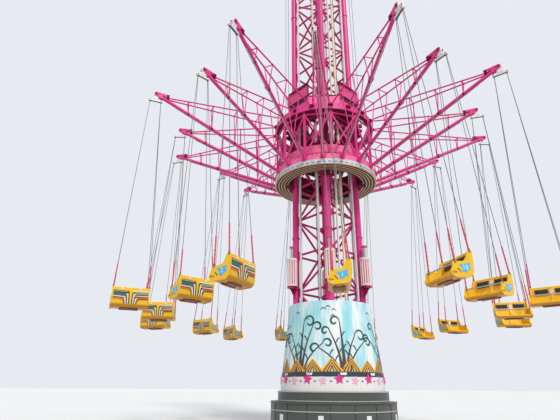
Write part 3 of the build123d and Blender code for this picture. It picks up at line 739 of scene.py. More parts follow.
def stroke(bm, points, widths, off):
    """A flat tapering brush stroke laid on the cone, from angle and height pairs."""
    left, right = [], []
    for i, (turn, z) in enumerate(points):
        a = points[max(i - 1, 0)]
        b = points[min(i + 1, len(points) - 1)]
        along = Vector(((b[0] - a[0]) * CONE_MID_R, b[1] - a[1]))
        along.normalize()
        half = widths[i] / 2
        left.append(bm.verts.new(cone_point(turn - along.y * half / CONE_MID_R, z + along.x * half, off)))
        right.append(bm.verts.new(cone_point(turn + along.y * half / CONE_MID_R, z - along.x * half, off)))
    for i in range(len(points) - 1):
        bm.faces.new((left[i], right[i], right[i + 1], left[i + 1]))


def build_cone_painting():
    """Curling ferns over a zigzag of peaks on the cone."""
    rng = random.Random(5)
    stems, curls, ochre, navy = (bmesh.new() for _ in range(4))
    foot = CONE_BOX[0].z + 0.19
    add_ferns(rng, stems, curls, foot)
    add_peaks(rng, ochre, navy, foot)
    add_dashes(rng, stems)
    brown = painted("Brown brushwork", (0.075, 0.045, 0.035), gloss=0.5)
    teal = painted("Teal brushwork", (0.01, 0.09, 0.075), gloss=0.5)
    gold = painted("Ochre brushwork", (0.88, 0.45, 0.01), gloss=0.45)
    blue = painted("Navy brushwork", (0.02, 0.03, 0.07), gloss=0.45)
    for name, bm, finish in (("cone_stems", stems, brown), ("cone_curls", curls, teal),
                             ("cone_peaks", ochre, gold), ("cone_peak_lines", navy, blue)):
        piece(name, bm, "tower", finish)


def add_ferns(rng, stems, curls, foot):
    """Clumps of five ferns round the cone, each with a curled tip and two side leaves."""
    for clump in range(6):
        middle = tau * clump / 6 + rng.uniform(-0.1, 0.1)
        for k in range(5):
            turn = middle + (k - 2) * 0.055
            height = rng.uniform(0.75, 1.3) + 0.3 * (2 - abs(k - 2))
            way = 1 if k > 2 or (k == 2 and clump % 2) else -1
            lean = 0.16 * (k - 2) + 0.05 * way
            line = [(turn + lean * (i / 12) ** 2, foot + height * i / 12) for i in range(13)]
            thick = 0.09 + 0.035 * (2 - abs(k - 2))
            stroke(stems, line, [thick - (thick - 0.035) * (i / 12) ** 0.7 for i in range(13)], 0.004)
            add_curl(curls, line[-1], way, rng.uniform(0.16, 0.25))
            for i in (5, 8):
                add_side_leaf(curls, line[i], way)


def add_curl(curls, tip, way, size):
    """The curled tip of a fern."""
    turn, z = tip
    line = []
    for i in range(25):
        bend = pi - 1.9 * pi * i / 24
        reach = size * (1 - 0.62 * i / 24)
        line.append((turn + way * (size + reach * cos(bend)) / CONE_MID_R, z + reach * sin(bend)))
    stroke(curls, line, [0.035 + 0.04 * sin(pi * i / 24) for i in range(25)], 0.005)


def add_side_leaf(curls, start, way):
    """A small leaf on the stem of a fern."""
    turn, z = start
    line = [(turn - way * 0.09 * j / 6, z + 0.2 * sin(pi * 0.6 * j / 6)) for j in range(7)]
    stroke(curls, line, [0.05 * sin(pi * (0.1 + 0.86 * j / 6)) for j in range(7)], 0.005)


def add_peaks(rng, ochre, navy, foot):
    """A zigzag of peaks, drawn as nested rays of two colours."""
    peaks = bpy.context.scene.swing_ride_base.peaks
    for k in range(peaks):
        step = tau / peaks
        apex = step * k + step / 2
        top = foot + rng.uniform(0.36, 0.5)
        for side in (-1, 1):
            for ray in range(6):
                low_turn = apex + side * step * 0.5 * (1 - ray / 6)
                high_z = top - 0.045 * ray
                bm, wide, off = (ochre, 0.085, 0.006) if ray % 2 == 0 else (navy, 0.04, 0.007)
                line = [(low_turn, foot), ((low_turn + apex) / 2, (foot + high_z) / 2), (apex, high_z)]
                stroke(bm, line, [wide, wide * 0.8, wide * 0.45], off)


def add_dashes(rng, stems):
    """Short curved dashes scattered round the cone."""
    for _ in range(22):
        turn, z = rng.uniform(0, tau), rng.uniform(3.5, 4.3)
        size = rng.uniform(0.07, 0.13)
        line = [(turn + size * (i / 6 - 0.5) * 1.4, z + size * sin(pi * i / 6)) for i in range(7)]
        stroke(stems, line, [0.04 * sin(pi * (0.08 + 0.86 * i / 6)) for i in range(7)], 0.004)


def cone_wash():
    """Blue paint washed thin in clouds, with fine brush marks down it."""
    def washed(tree):
        place = add(tree, "TexCoord").outputs["Object"]
        long = add(tree, "Mapping", {"Vector": place, "Scale": (2.6, 2.6, 0.4)}).outputs[0]
        cloud = add(tree, "TexNoise", {"Vector": long, "Scale": 1.0, "Detail": 6.0, "Roughness": 0.62})
        clear = add(tree, "MapRange", {"Value": cloud.outputs["Fac"], "From Min": 0.42, "From Max": 0.6})
        thin = add(tree, "Mapping", {"Vector": place, "Scale": (11.0, 11.0, 0.7)}).outputs[0]
        brush = add(tree, "TexNoise", {"Vector": thin, "Scale": 1.0, "Detail": 3.0}).outputs["Fac"]
        wash = rgba(bpy.context.scene.swing_ride_base.wash)
        blue_part = mixed(tree, brush, (0.2, 0.64, 0.75, 1), wash)
        return mixed(tree, clear.outputs[0], blue_part, (0.88, 0.94, 0.92, 1))
    return painted("Cone wash", washed, streak=(0.35, 0.4, 0.38), gloss=0.4)


def build_base_band():
    """The dark band at the foot of the cone with its pale plates."""
    band, plates = bmesh.new(), bmesh.new()
    foot = CONE_BOX[0].z + 0.02
    lathe(band, [(1.925, foot), (1.937, foot), (1.922, foot + 0.16), (1.9, foot + 0.16)], 96)
    count = 10
    for k in range(count):
        a = tau * (k + 0.5) / count
        outline = [(a - 0.05, foot + 0.05), (a - 0.065, foot + 0.13), (a + 0.065, foot + 0.13),
                   (a + 0.05, foot + 0.05)]
        slab(plates, outline, lambda p: cone_point(*p, 0.006), lambda p: cone_point(*p, 0.022))
    piece("cone_foot_band", band, "tower", painted("Slate band", (0.03, 0.04, 0.055)))
    piece("cone_foot_plates", plates, "tower", white())


def star(centre, middle, size, lean, radius):
    """The outline of a five-pointed star round a cylinder, as angles and heights."""
    outline = []
    for i in range(10):
        r = size if i % 2 == 0 else size * 0.5
        b = pi / 2 + tau * i / 10 + lean
        outline.append((centre + r * cos(b) / radius, middle + r * sin(b)))
    return outline


def leaf(centre, low, turn, radius):
    """The outline of one small leaf of a sprig, as angles and heights."""
    tip = (centre + 0.075 * sin(turn) / radius, low + 0.075 * cos(turn))
    side = (0.016 * cos(turn) / radius, 0.016 * sin(turn))
    mid = ((centre + tip[0]) / 2, (low + tip[1]) / 2)
    return [(centre, low), (mid[0] + side[0], mid[1] - side[1]), tip, (mid[0] - side[0], mid[1] + side[1])]


def build_skirt_marks():
    """Bright and pale stars in turn round the skirt, with small sprigs between them."""
    settings = bpy.context.scene.swing_ride_base
    rng = random.Random(11)
    bright, pale, sprigs = (bmesh.new() for _ in range(3))
    radius = SKIRT_BOX[1].x
    middle = SKIRT_BOX[1].z - 0.06
    for k in range(settings.stars * 2):
        a = tau * k / (settings.stars * 2)
        lean = rng.uniform(-0.2, 0.2)
        bm, size, below = ((bright, 1.0, 0.0), (pale, 0.85, 0.05))[k % 2]
        wrapped(bm, star(a, middle - below, settings.star_radius * size, lean, radius), radius, 0.012)
        for turn in (-0.7, 0.0, 0.7):
            wrapped(sprigs, leaf(a + tau / (settings.stars * 4), middle - 0.1, turn, radius), radius, 0.008)
    piece("skirt_stars_bright", bright, "tower", painted("Star pink", (0.8, 0.03, 0.28)))
    piece("skirt_stars_pale", pale, "tower", painted("Star pale", (0.9, 0.48, 0.64)))
    piece("skirt_sprigs", sprigs, "tower", painted("Sprig violet", (0.25, 0.14, 0.28)))


def build_plinth():
    """Panel joints and pale trims round the plinth, and small blank boards."""
    joints, trims, boards = bmesh.new(), bmesh.new(), bmesh.new()
    radius = PLINTH_BOX[1].x - 0.03
    top = 1.05
    for k in range(18):
        turned_box(joints, (radius - 0.01, -0.012, 0.02), (radius + 0.012, 0.012, top - 0.06),
                   Matrix.Rotation(tau * k / 18, 4, "Z"))
    for r, z, high in ((radius, 0.0, 0.06), (radius, top - 0.045, 0.045), (radius, top - 0.3, 0.03),
                       (STEP_R, top + 0.02, 0.03), (STEP_R, PLINTH_BOX[1].z - 0.04, 0.04)):
        lathe(trims, [(r - 0.01, z), (r + 0.018, z), (r + 0.018, z + high), (r - 0.01, z + high)], 96)
    half = 0.09 / radius
    board = rounded([(-half, 0.42), (half, 0.42), (half, 0.66), (-half, 0.66)], 0.02)
    for k in range(9):
        a = tau * (k + 0.3) / 9
        wrapped(boards, [(a + x, z) for x, z in board], radius, 0.02)
    piece("plinth_joints", joints, "tower", dark_steel())
    piece("plinth_trims", trims, "tower", painted("Trim cream", (0.5, 0.5, 0.42)))
    piece("plinth_notice_boards", boards, "tower", white())


# Turntable
def build_arm(joint, number):
    """One lattice arm: a lower chord, two upper chords, three-sided frames, a collar and a conduit."""
    angle, tip_r, tip_z = chair_base(joint)
    (start, stop), tops, slope = arm_lines(tip_r, tip_z)
    chords, webs, plates, conduit = (bmesh.new() for _ in range(4))
    along = (stop - start).normalized()
    rod(chords, start, stop + along * 0.34, CHORD_R, 20)
    for s in (-1, 1):
        rod(chords, *tops[s], UPPER_CHORD_R, 12)
    for k in range(1, FRAMES + 1):
        low = start.lerp(stop, FRAME_SHARE * k)
        high = {s: tops[s][0].lerp(tops[s][1], FRAME_SHARE * k) for s in (-1, 1)}
        rod(webs, high[-1], high[1], WEB_R, 8)
        rod(plates, low - along * 0.022, low + along * 0.022, FRAME_BAND_R, 20)
        for s in (-1, 1):
            rod(webs, low, high[s], WEB_R, 8)
            chord = (tops[s][1] - tops[s][0]).normalized()
            rod(chords, high[s] - chord * 0.03, high[s] + chord * 0.03, 0.038, 12)
    for s in (-1, 1):
        chord = (tops[s][1] - tops[s][0]).normalized()
        rod(plates, tops[s][0], tops[s][0] + chord * 0.07, 0.045, 12)
    rod(chords, start - along * 0.02, start + along * 0.06, 0.1, 20)
    add_conduit(conduit, start, stop, along)
    add_collar(chords, plates, start.lerp(stop, COLLAR_SHARE), along)
    turn = Matrix.Rotation(angle, 4, "Z")
    label = f"arm_{number:02d}"
    piece(label + "_chords", chords, "turntable", pink(), matrix=turn)
    piece(label + "_webs", webs, "turntable", pink(), matrix=turn)
    piece(label + "_gussets", plates, "turntable", maroon(), matrix=turn)
    piece(label + "_conduit", conduit, "turntable", galvanised(), matrix=turn)
    build_head(label, turn, tip_r, tip_z, slope)


def arm_lines(tip_r, tip_z):
    """The ends of an arm's lower chord and, by side, of its upper chords, and the rise of the lower one."""
    slope = (tip_z - LOWER_FOOT_Z) / (tip_r - (RING_OUT_R - 0.1))
    rear = tip_r - HEAD_L
    lower = (Vector((RING_OUT_R, 0, LOWER_FOOT_Z)), Vector((rear, 0, tip_z - HEAD_L * slope)))
    splay = HEAD_W / 2 - 0.03
    foot_r = UPPER_RING_OUT_R + 0.008
    foot_x, foot_y = foot_r * cos(radians(UPPER_FOOT_DEG)), foot_r * sin(radians(UPPER_FOOT_DEG))
    upper = {s: (Vector((foot_x, s * foot_y, UPPER_FOOT_Z)),
                 Vector((rear + 0.06, s * splay, tip_z - UPPER_TIP_BELOW))) for s in (-1, 1)}
    return lower, upper, slope


def add_conduit(bm, start, stop, along):
    """The conduit below a lower chord, with its clips."""
    sag = Vector((0, 0, -1)) - along * -along.z
    sag.normalize()
    foot, end = (start.lerp(stop, share) + sag * CONDUIT_BELOW for share in (0.04, 0.94))
    rod(bm, foot, end, CONDUIT_R, 10)
    for k in range(1, 14):
        clip = foot.lerp(end, k / 14)
        rod(bm, clip - along * 0.012, clip + along * 0.012, 0.023, 10)


def add_collar(flanges, bolts, spot, along):
    """The bolted flanges that join the two lengths of a lower chord."""
    side, up = frame_of(along)
    for off in (-0.042, 0.004):
        rod(flanges, spot + along * off, spot + along * (off + 0.038), COLLAR_R, 24)
    for k in range(8):
        bolt = spot + (side * cos(tau * k / 8) + up * sin(tau * k / 8)) * 0.086
        rod(bolts, bolt - along * 0.055, bolt + along * 0.055, 0.009, 6)


def build_head(label, turn, tip_r, tip_z, slope):
    """The forked head: a top bar and a lower fork that meet at the nose, a tie block and the pin."""
    bm, tie = bmesh.new(), bmesh.new()
    nose_r = HEAD_NOSE_R * 0.85
    nose = [(nose_r * cos(radians(a)), nose_r * sin(radians(a))) for a in range(-75, 91, 15)]
    back = -HEAD_L + 0.02
    upper = [(back, 0.04), (back, -0.03), (-0.1, -0.045), *nose, (back * 0.6, 0.055)]
    half = back * 0.55
    lower = [(half, half * slope + 0.055), (half, half * slope - 0.075), *nose[:6], (-0.02, 0.04)]
    for s in (-1, 1):
        for outline in (upper, lower):
            cross_plate(bm, outline, s * HEAD_SLOT / 2, s * HEAD_W / 2, (tip_r, tip_z))
        rod(bm, (tip_r, s * 0.068, tip_z), (tip_r, s * 0.1, tip_z), 0.055, 20)
        rod(tie, (tip_r, s * 0.1, tip_z), (tip_r, s * 0.118, tip_z), 0.038, 6)
    rear = tip_r - HEAD_L
    box(bm, (tip_r - HEAD_L * 0.72, -HEAD_SLOT / 2, tip_z - 0.03),
        (tip_r - HEAD_L * 0.5, HEAD_SLOT / 2, tip_z + 0.045))
    box(tie, (rear - 0.01, -0.095, tip_z - 0.14), (rear + 0.1, 0.095, tip_z + 0.046))
    box(tie, (rear + 0.01, -0.02, tip_z - HEAD_L * slope + 0.02), (rear + 0.05, 0.02, tip_z - 0.13))
    rod(bm, (tip_r, -0.11, tip_z), (tip_r, 0.11, tip_z), PIN_R, 16)
    piece(label + "_head", bm, "turntable", pink(), matrix=turn)
    piece(label + "_tie", tie, "turntable", maroon(), matrix=turn, bevel=0.012)


def build_rings():
    """Bolts, lugs and stiffeners on the two rings of the cage."""
    bolts, lugs, ribs = (bmesh.new() for _ in range(3))
    for k in range(72):
        a = tau * k / 72
        for radius, z in ((UPPER_BOX[1].x, UPPER_BOX[1].z - 0.05), (LOWER_BOX[1].x, LOWER_BOX[1].z - 0.05)):
            rod(bolts, on_circle(radius, a, z), on_circle(radius + 0.02, a, z), 0.016, 6)
    upper_r, lower_r = UPPER_BOX[1].x, LOWER_BOX[1].x
    for joint in SWINGS:
        angle, _, _ = chair_base(joint)
        between = Matrix.Rotation(angle + pi / len(SWINGS), 4, "Z")
        turned_box(lugs, (upper_r, -0.1, UPPER_FOOT_Z - 0.07), (upper_r + 0.05, 0.1, UPPER_FOOT_Z + 0.06),
                   between)
        turned_box(ribs, (upper_r, -0.02, UPPER_BOX[0].z), (upper_r + 0.03, 0.02, UPPER_BOX[1].z - 0.01),
                   between)
        turned_box(ribs, (lower_r, -0.12, LOWER_BOX[0].z + 0.02),
                   (lower_r + 0.012, 0.12, LOWER_BOX[1].z - 0.01), Matrix.Rotation(angle, 4, "Z"))
    piece("ring_bolts", bolts, "turntable", dark_steel())
    piece("ring_lugs", lugs, "turntable", maroon())
    piece("ring_ribs", ribs, "turntable", pink())


def build_rim():
    """The blue squares and their pale line round the white rim, and its two lips."""
    squares, line, lips, edge = (bmesh.new() for _ in range(4))
    count = 60
    low, high = RIM_BOX[0].z + 0.045, RIM_BOX[0].z + 0.105
    radius = RIM_BOX[1].x - 0.004
    for k in range(count):
        a = tau * k / count
        outline = [(a - 0.036, low), (a + 0.036, low), (a + 0.036, high), (a - 0.036, high)]
        wrapped(squares, outline, radius, 0.01)
    lathe(line, [(radius - 0.01, low + 0.014), (radius + 0.006, low + 0.014), (radius + 0.006, high - 0.014),
                 (radius - 0.01, high - 0.014)], 96)
    r = RIM_BOX[1].x
    for bm, z, tall in ((edge, RIM_BOX[0].z - 0.028, 0.04), (lips, RIM_BOX[1].z - 0.035, 0.035)):
        lathe(bm, [(r - 0.035, z), (r + 0.012, z), (r + 0.016, z + tall / 2), (r + 0.012, z + tall),
                   (r - 0.035, z + tall)], 96)
    piece("rim_squares", squares, "turntable", painted("Sky blue", (0.06, 0.4, 0.8)))
    piece("rim_line", line, "turntable", painted("Pale blue", (0.4, 0.72, 0.86)))
    piece("rim_lips", lips, "turntable", painted("Rim cream", (0.84, 0.8, 0.72)))
    piece("rim_edge", edge, "turntable", painted("Edge gold", (0.85, 0.55, 0.25)))


def soffit_paint():
    """Navy rings with gold and cream lines between them."""
    def stripes(tree):
        radius, _, _ = radius_of(tree)
        colour = rgba((1.0, 0.82, 0.58))
        for share, shade in ((0.88, (1.0, 0.5, 0.1)), (0.7, (0.004, 0.014, 0.04))):
            mask = group_node(
                tree, "Even rings", {"Value": radius, "Start": 1.6, "Pitch": 0.128, "Share": share})
            colour = mixed(tree, mask.outputs[0], colour, rgba(shade))
        return colour
    return painted("Soffit stripes", stripes, gloss=0.5, streaks=0.1)


def edged_paint(name, colour, shade_colour, shade_top_z, streak):
    """Paint with a darker band of painted shade below a height."""
    def banded(tree):
        # Painted shade: below the given height the colour turns to the dark shade colour.
        edge = calc(tree, "LESS_THAN", radius_of(tree)[2], shade_top_z)
        return mixed(tree, edge, rgba(colour), rgba(shade_colour))
    return painted(name, banded, streak=streak)


def dress_turntable():
    """The finishes of the rings, the drum, the cage and the soffit."""
    dress("striped_soffit", soffit_paint())
    dress("soffit_rim", white())
    # Painted shade: a dark band at the foot of the drum and on the underside of the upper ring.
    dress("slewing_ring", edged_paint("Drum paint", (0.95, 0.19, 0.42), (0.2, 0.008, 0.05),
                                      BEARING_BOX[0].z + 0.07, (0.45, 0.05, 0.15)))
    dress("upper_ring", edged_paint("Upper ring paint", steel().pink, (0.13, 0.006, 0.03),
                                    UPPER_BOX[0].z + 0.012, (0.2, 0.01, 0.06)))
    # Painted light: the lower ring takes the lighter, sunlit copy of the pink.
    dress("lower_ring", light_pink())
    dress("cage_posts", pink())
    dress("cage_braces", pink())


def build_arms():
    """All eighteen arms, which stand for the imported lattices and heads."""
    for number, joint in enumerate(SWINGS, 1):
        build_arm(joint, number)
    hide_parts("arms_west", "arms_east")
    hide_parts("arm_heads")


# Carriage
def build_carriage():
    """Trims and bolts on the panel box, and a black block behind each slot as painted shade inside it."""
    trims, bolts, shade_backs = bmesh.new(), bmesh.new(), bmesh.new()
    half = PANEL_BOX[1].x
    corner = PANEL_CORNER
    foot, top = PANEL_BOX[0].z, PANEL_BOX[1].z
    slot = foot + 0.55
    edge = (half + corner) / 2 ** 0.5
    for face in range(4):
        turn = at_angle(90 * face)
        for low, high in (((half - 0.04, -corner, top - 0.15), (half + 0.02, corner, top + 0.012)),
                          ((half - 0.005, -corner, foot), (half + 0.01, corner, foot + 0.05)),
                          ((half - 0.005, -0.61, slot - 0.03), (half + 0.012, 0.61, slot)),
                          ((half - 0.005, -0.61, slot + 0.2), (half + 0.012, 0.61, slot + 0.23))):
            turned_box(trims, low, high, turn)
        for y in (-corner, corner):
            turned_box(trims, (half - 0.034, y - 0.02, foot + 0.7),
                       (half + 0.012, y + 0.02, top - 0.08), turn)
        # Painted shade: a black block behind the slot for the dark inside of the box.
        turned_box(shade_backs, (half - 0.1, -0.62, slot - 0.03), (half - 0.032, 0.62, slot + 0.23), turn)
        for k in range(9):
            y = -0.56 + 0.14 * k
            for z in (foot + 0.09, top - 0.19):
                spot = turn @ Vector((half, y, z))
                rod(bolts, spot, spot + turn @ Vector((0.015, 0, 0)), 0.013, 6)
        cut = at_angle(90 * face + 45)
        turned_box(trims, (edge - 0.036, -0.69, foot + 0.66), (edge + 0.012, 0.69, foot + 0.712), cut)
        turned_box(trims, (edge - 0.006, -0.69, foot), (edge + 0.01, 0.69, foot + 0.05), cut)
    piece("panel_trims", trims, "carriage", maroon())
    piece("panel_bolts", bolts, "carriage", galvanised())
    piece("slot_shade_backs", shade_backs, "carriage", black_rubber())


def panel_paint():
    """Two pinks: one on the flat sides of the panel box and one on its cut corners."""
    def faces(tree):
        _, turn, _ = radius_of(tree)
        corners = group_node(
            tree, "Even rings", {"Value": turn, "Start": 0.0626, "Pitch": 0.25, "Share": 0.498})
        return mixed(tree, corners.outputs[0], (0.74, 0.04, 0.22, 1), (0.9, 0.12, 0.36, 1))
    return painted("Panel paint", faces, streak=(0.4, 0.05, 0.2), coat=0.15)


def build_rollers():
    """Guide rollers with rubber tyres between fork plates, and their axles."""
    tyres, forks = bmesh.new(), bmesh.new()
    centre = RAIL_X + 0.033 + ROLLER_R
    cheek = rounded([(-0.045, -0.045), (0.1, -0.04), (0.1, 0.04), (-0.045, 0.045)], 0.03)
    for face in range(4):
        for side in (-1, 1):
            for z in ROLLER_Z:
                wheel, fork = bmesh.new(), bmesh.new()
                lathe(wheel, [(0.03, -0.035), (0.085, -0.035), (0.1, -0.022), (0.1, 0.022), (0.085, 0.035),
                              (0.03, 0.035)], 28)
                rod(fork, (0, 0, -0.065), (0, 0, 0.065), 0.02, 12)
                for y in (-1, 1):
                    slab(fork, cheek, lambda p: (p[0], p[1], y * 0.045), lambda p: (p[0], p[1], y * 0.06))
                place = at_angle(90 * face) @ Matrix.Translation((centre, side * RAIL_Y, z))
                place = place @ Matrix.Rotation(pi / 2, 4, "X")
                merge(tyres, wheel, place)
                merge(forks, fork, place)
    piece("roller_tyres", tyres, "carriage", black_rubber(), ["guide_rollers"])
    piece("roller_forks", forks, "carriage", dark_steel())


# Chairs
def side_outline():
    """The side profile of a chair, as forward distance and height."""
    front, rear = CHAIR_D / 2, -CHAIR_D / 2
    return rounded([
        (front, 0.14), (front - 0.03, 0.06), (front - 0.12, 0), (rear + 0.15, 0), (rear + 0.05, 0.09),
        (rear + 0.012, ARM_TOP), (rear, CHAIR_H), (rear + 0.115, CHAIR_H), (rear + 0.19, ARM_TOP + 0.09),
        (rear + 0.26, ARM_TOP), (front - 0.095, ARM_TOP), (front - 0.075, 0.24)], 0.05)


def tub_outline():
    """The section through the pan and the back between the side walls."""
    front, rear = CHAIR_D / 2, -CHAIR_D / 2
    return rounded([
        (front - 0.02, PAN_Z + 0.01), (front - 0.03, 0.06), (front - 0.12, 0.01), (rear + 0.15, 0.01),
        (rear + 0.05, 0.09), (rear + 0.012, ARM_TOP), (rear + 0.004, CHAIR_H - 0.006),
        (rear + 0.06, CHAIR_H - 0.006), (rear + 0.095, 0.32), (rear + 0.15, PAN_Z)], 0.04)


def chair_shell():
    """The moulded shell: side walls, pan and back, the middle rib and the ridges of the seats."""
    shell = bmesh.new()
    half = CHAIR_W / 2
    outline = side_outline()
    for s in (-1, 1):
        slab(shell, outline, across(s * half), across(s * (half - WALL_T)))
    slab(shell, tub_outline(), across(-half + WALL_T * 0.7), across(half - WALL_T * 0.7))
    rear = -CHAIR_D / 2
    rib = [(0.26, PAN_Z - 0.01), (0.26, PAN_Z + 0.035), (0.0, PAN_Z + 0.05), (rear + 0.2, PAN_Z + 0.07),
           (rear + 0.12, 0.34), (rear + 0.085, CHAIR_H - 0.02), (rear + 0.05, CHAIR_H - 0.02),
           (rear + 0.07, 0.3), (rear + 0.12, PAN_Z - 0.01)]
    slab(shell, rounded(rib, 0.02), across(-0.04), across(0.04))
    ridge = [(0.24, PAN_Z), (0.24, PAN_Z + 0.012), (rear + 0.19, PAN_Z + 0.016), (rear + 0.17, PAN_Z)]
    ridge = rounded(ridge, 0.004)
    for x in (-0.42, -0.28, -0.14, 0.14, 0.28, 0.42):
        slab(shell, ridge, across(x - 0.018), across(x + 0.018))
    return shell


def across(side_x):
    """Turns forward and height into a point at a sideways place."""
    return lambda p: (side_x, -p[0], p[1])


def back_spot(x, z, off):
    """A point on the rear face of a chair's back, or off it by a little."""
    for (low, y0), (high, y1) in zip(BACK_PROFILE, BACK_PROFILE[1:]):
        if z <= high:
            break
    share = (z - low) / (high - low)
    return Vector((x, y0 + (y1 - y0) * share + off, z))


def ribbon(bm, points, width, thick=0.005):
    """A raised band on the rear face of a chair's back, along sideways and height pairs."""
    rows = []
    for i, (x, z) in enumerate(points):
        a, b = points[max(i - 1, 0)], points[min(i + 1, len(points) - 1)]
        along = Vector((b[0] - a[0], b[1] - a[1])).normalized() * width / 2
        left, right = (x - along.y, z + along.x), (x + along.y, z - along.x)
        rows.append([bm.verts.new(back_spot(*p, off)) for p, off in (
            (left, -0.004), (right, -0.004), (right, thick), (left, thick))])
    for low, high in zip(rows, rows[1:]):
        loop_pair(bm, low, high)
    bm.faces.new(reversed(rows[0]))
    bm.faces.new(rows[-1])


def chair_bands():
    """The woven-look bands across each half of the back, and the strips that fall beside the middle."""
    kinds = {kind: bmesh.new() for kind in ("black", "white", "teal", "orange", "olive", "grey", "tan")}
    for side, bands in ((1, TEAL_BANDS), (-1, OLIVE_BANDS)):
        for z, tall, kind in bands:
            inner = 0.055 + (0.512 - z) * 0.55
            line = [(side * (inner + (0.545 - inner) * i / 6), z - 0.014 * (1 - i / 6)) for i in range(7)]
            ribbon(kinds[kind], line, tall)
        for k, kind in enumerate(("black", "white", "black", "white", "black")):
            x = 0.056 + 0.034 * k
            z = 0.512 - (x - 0.03) / 0.55
            corner = [(x + 0.05, z), (x + 0.022, z - 0.004), (x + 0.005, z - 0.022), (x, z - 0.05)]
            fall = [(x - 0.003 * i, z - 0.05 - (z - 0.155) * i / 4) for i in range(1, 5)]
            ribbon(kinds[kind], [(side * px, pz) for px, pz in corner + fall], 0.032, 0.006)
        for k in range(10):
            x = side * (0.15 + 0.04 * k)
            for z, kind in ((0.486, "white"), (0.3, "tan"), (0.345, "orange")):
                ribbon(kinds[kind], [(x - 0.008, z - 0.009), (x + 0.008, z + 0.009)], 0.012, 0.008)
    return kinds


def chair_meshes():
    """The parts of one chair in its own frame, by name."""
    half = CHAIR_W / 2
    fittings, dark, recess_shade_ovals, discs = (bmesh.new() for _ in range(4))
    # Painted shade: a brown oval on each side wall stands for the shade in the moulded recess.
    oval = [(0.22 + 0.075 * cos(tau * k / 20), 0.125 + 0.028 * sin(tau * k / 20)) for k in range(20)]
    for s in (-1, 1):
        slab(recess_shade_ovals, oval, across(s * (half - 0.004)), across(s * (half + 0.004)))
        rod(discs, back_spot(s * 0.28, 0.574, -0.01), back_spot(s * 0.28, 0.574, 0.009), 0.032, 20)
    box(dark, (-0.19, -0.2, -0.012), (0.19, 0.14, 0.012))
    for y in (-0.14, 0.06):
        box(dark, (-0.3, y - 0.025, -0.024), (0.3, y + 0.025, 0.01))
    bar_z = ARM_TOP - 0.04
    rod(fittings, (-half + WALL_T, -0.2, bar_z), (half - WALL_T, -0.2, bar_z), 0.02, 16)
    for s in (-1, 1):
        wall = half - WALL_T
        rod(dark, (s * (wall - 0.012), -0.2, bar_z), (s * (wall + 0.004), -0.2, bar_z), 0.036, 16)
        for y, z in ((-0.17, ARM_TOP), (CHAIR_D / 2 - 0.06, CHAIR_H)):
            rod(dark, (s * (half - 0.023), y, z - 0.05), (s * (half - 0.023), y, z + 0.05), 0.026, 12)
            rod(fittings, (s * (half - 0.05), y, z - 0.02), (s * (half + 0.01), y, z - 0.02), 0.016, 6)
            rod(dark, (s * (half - 0.004), y, z - 0.02), (s * (half + 0.005), y, z - 0.02), 0.032, 14)
    block = [(-0.06, -0.06), (-0.045, 0.07), (0.045, 0.07), (0.06, -0.06), (0.03, -0.085), (-0.03, -0.085)]
    cross_plate(discs, rounded(block, 0.02), CHAIR_D / 2 - 0.12, CHAIR_D / 2 - 0.07, (0, 0.465))
    made = {"shell": chair_shell(), "fittings": fittings, "underframe": dark, "recess_shade_ovals": recess_shade_ovals, "discs": discs}
    made.update({"band_" + kind: bm for kind, bm in chair_bands().items()})
    return made


def yellow_mould(shell):
    """Yellow plastic that clouds a little, with a darker orange-brown painted on its underside as painted shade.
    """
    def moulded(tree):
        place = add(tree, "TexCoord").outputs["Object"]
        cloud = add(tree, "TexNoise", {"Vector": place, "Scale": 6.0, "Detail": 5.0}).outputs["Fac"]
        shade = add(tree, "MapRange", {"Value": cloud, "From Min": 0.35, "From Max": 0.7}).outputs[0]
        yellow_part = mixed(tree, shade, rgba(shell), (0.94, 0.56, 0.01, 1))
        # Painted shade: faces that point down are darkened to orange-brown.
        lean = add(tree, "SeparateXYZ", {0: add(tree, "NewGeometry").outputs["Normal"]}).outputs[2]
        underside_shade = add(tree, "MapRange", {"Value": lean, "From Min": -0.3, "From Max": -0.9}).outputs[0]
        return mixed(tree, underside_shade, yellow_part, (0.72, 0.3, 0.008, 1))
    return painted("Chair yellow", moulded, streak=(0.6, 0.25, 0.01), gloss=0.3, coat=0.1)


def chair_finishes(shell):
    """The finish, the slot and the edge rounding of each part of a chair, by name."""
    finishes = {
        "shell": (yellow_mould(shell), "chair_yellow", 0.012), "fittings": (galvanised(), "rod_steel", 0.0),
        "underframe": (painted("Underframe brown", (0.24, 0.07, 0.015)), "rod_steel", 0.004),
        "recess_shade_ovals": (painted("Oval recess shade", (0.5, 0.27, 0.02)), "chair_yellow", 0.0),
        "discs": (painted("Disc white", (0.85, 0.84, 0.8), gloss=0.25), "chair_yellow", 0.003),
        "band_black": (band_black(), "chair_yellow", 0.0)}
    bands = {
        "white": (0.85, 0.82, 0.76), "teal": (0.0, 0.17, 0.13), "orange": (0.75, 0.2, 0.02),
        "olive": (0.3, 0.3, 0.03), "grey": (0.36, 0.38, 0.4), "tan": (0.5, 0.22, 0.05)}
    for kind, colour in bands.items():
        finishes["band_" + kind] = (painted("Band " + kind, colour, gloss=0.4), "chair_yellow", 0.0)
    return finishes


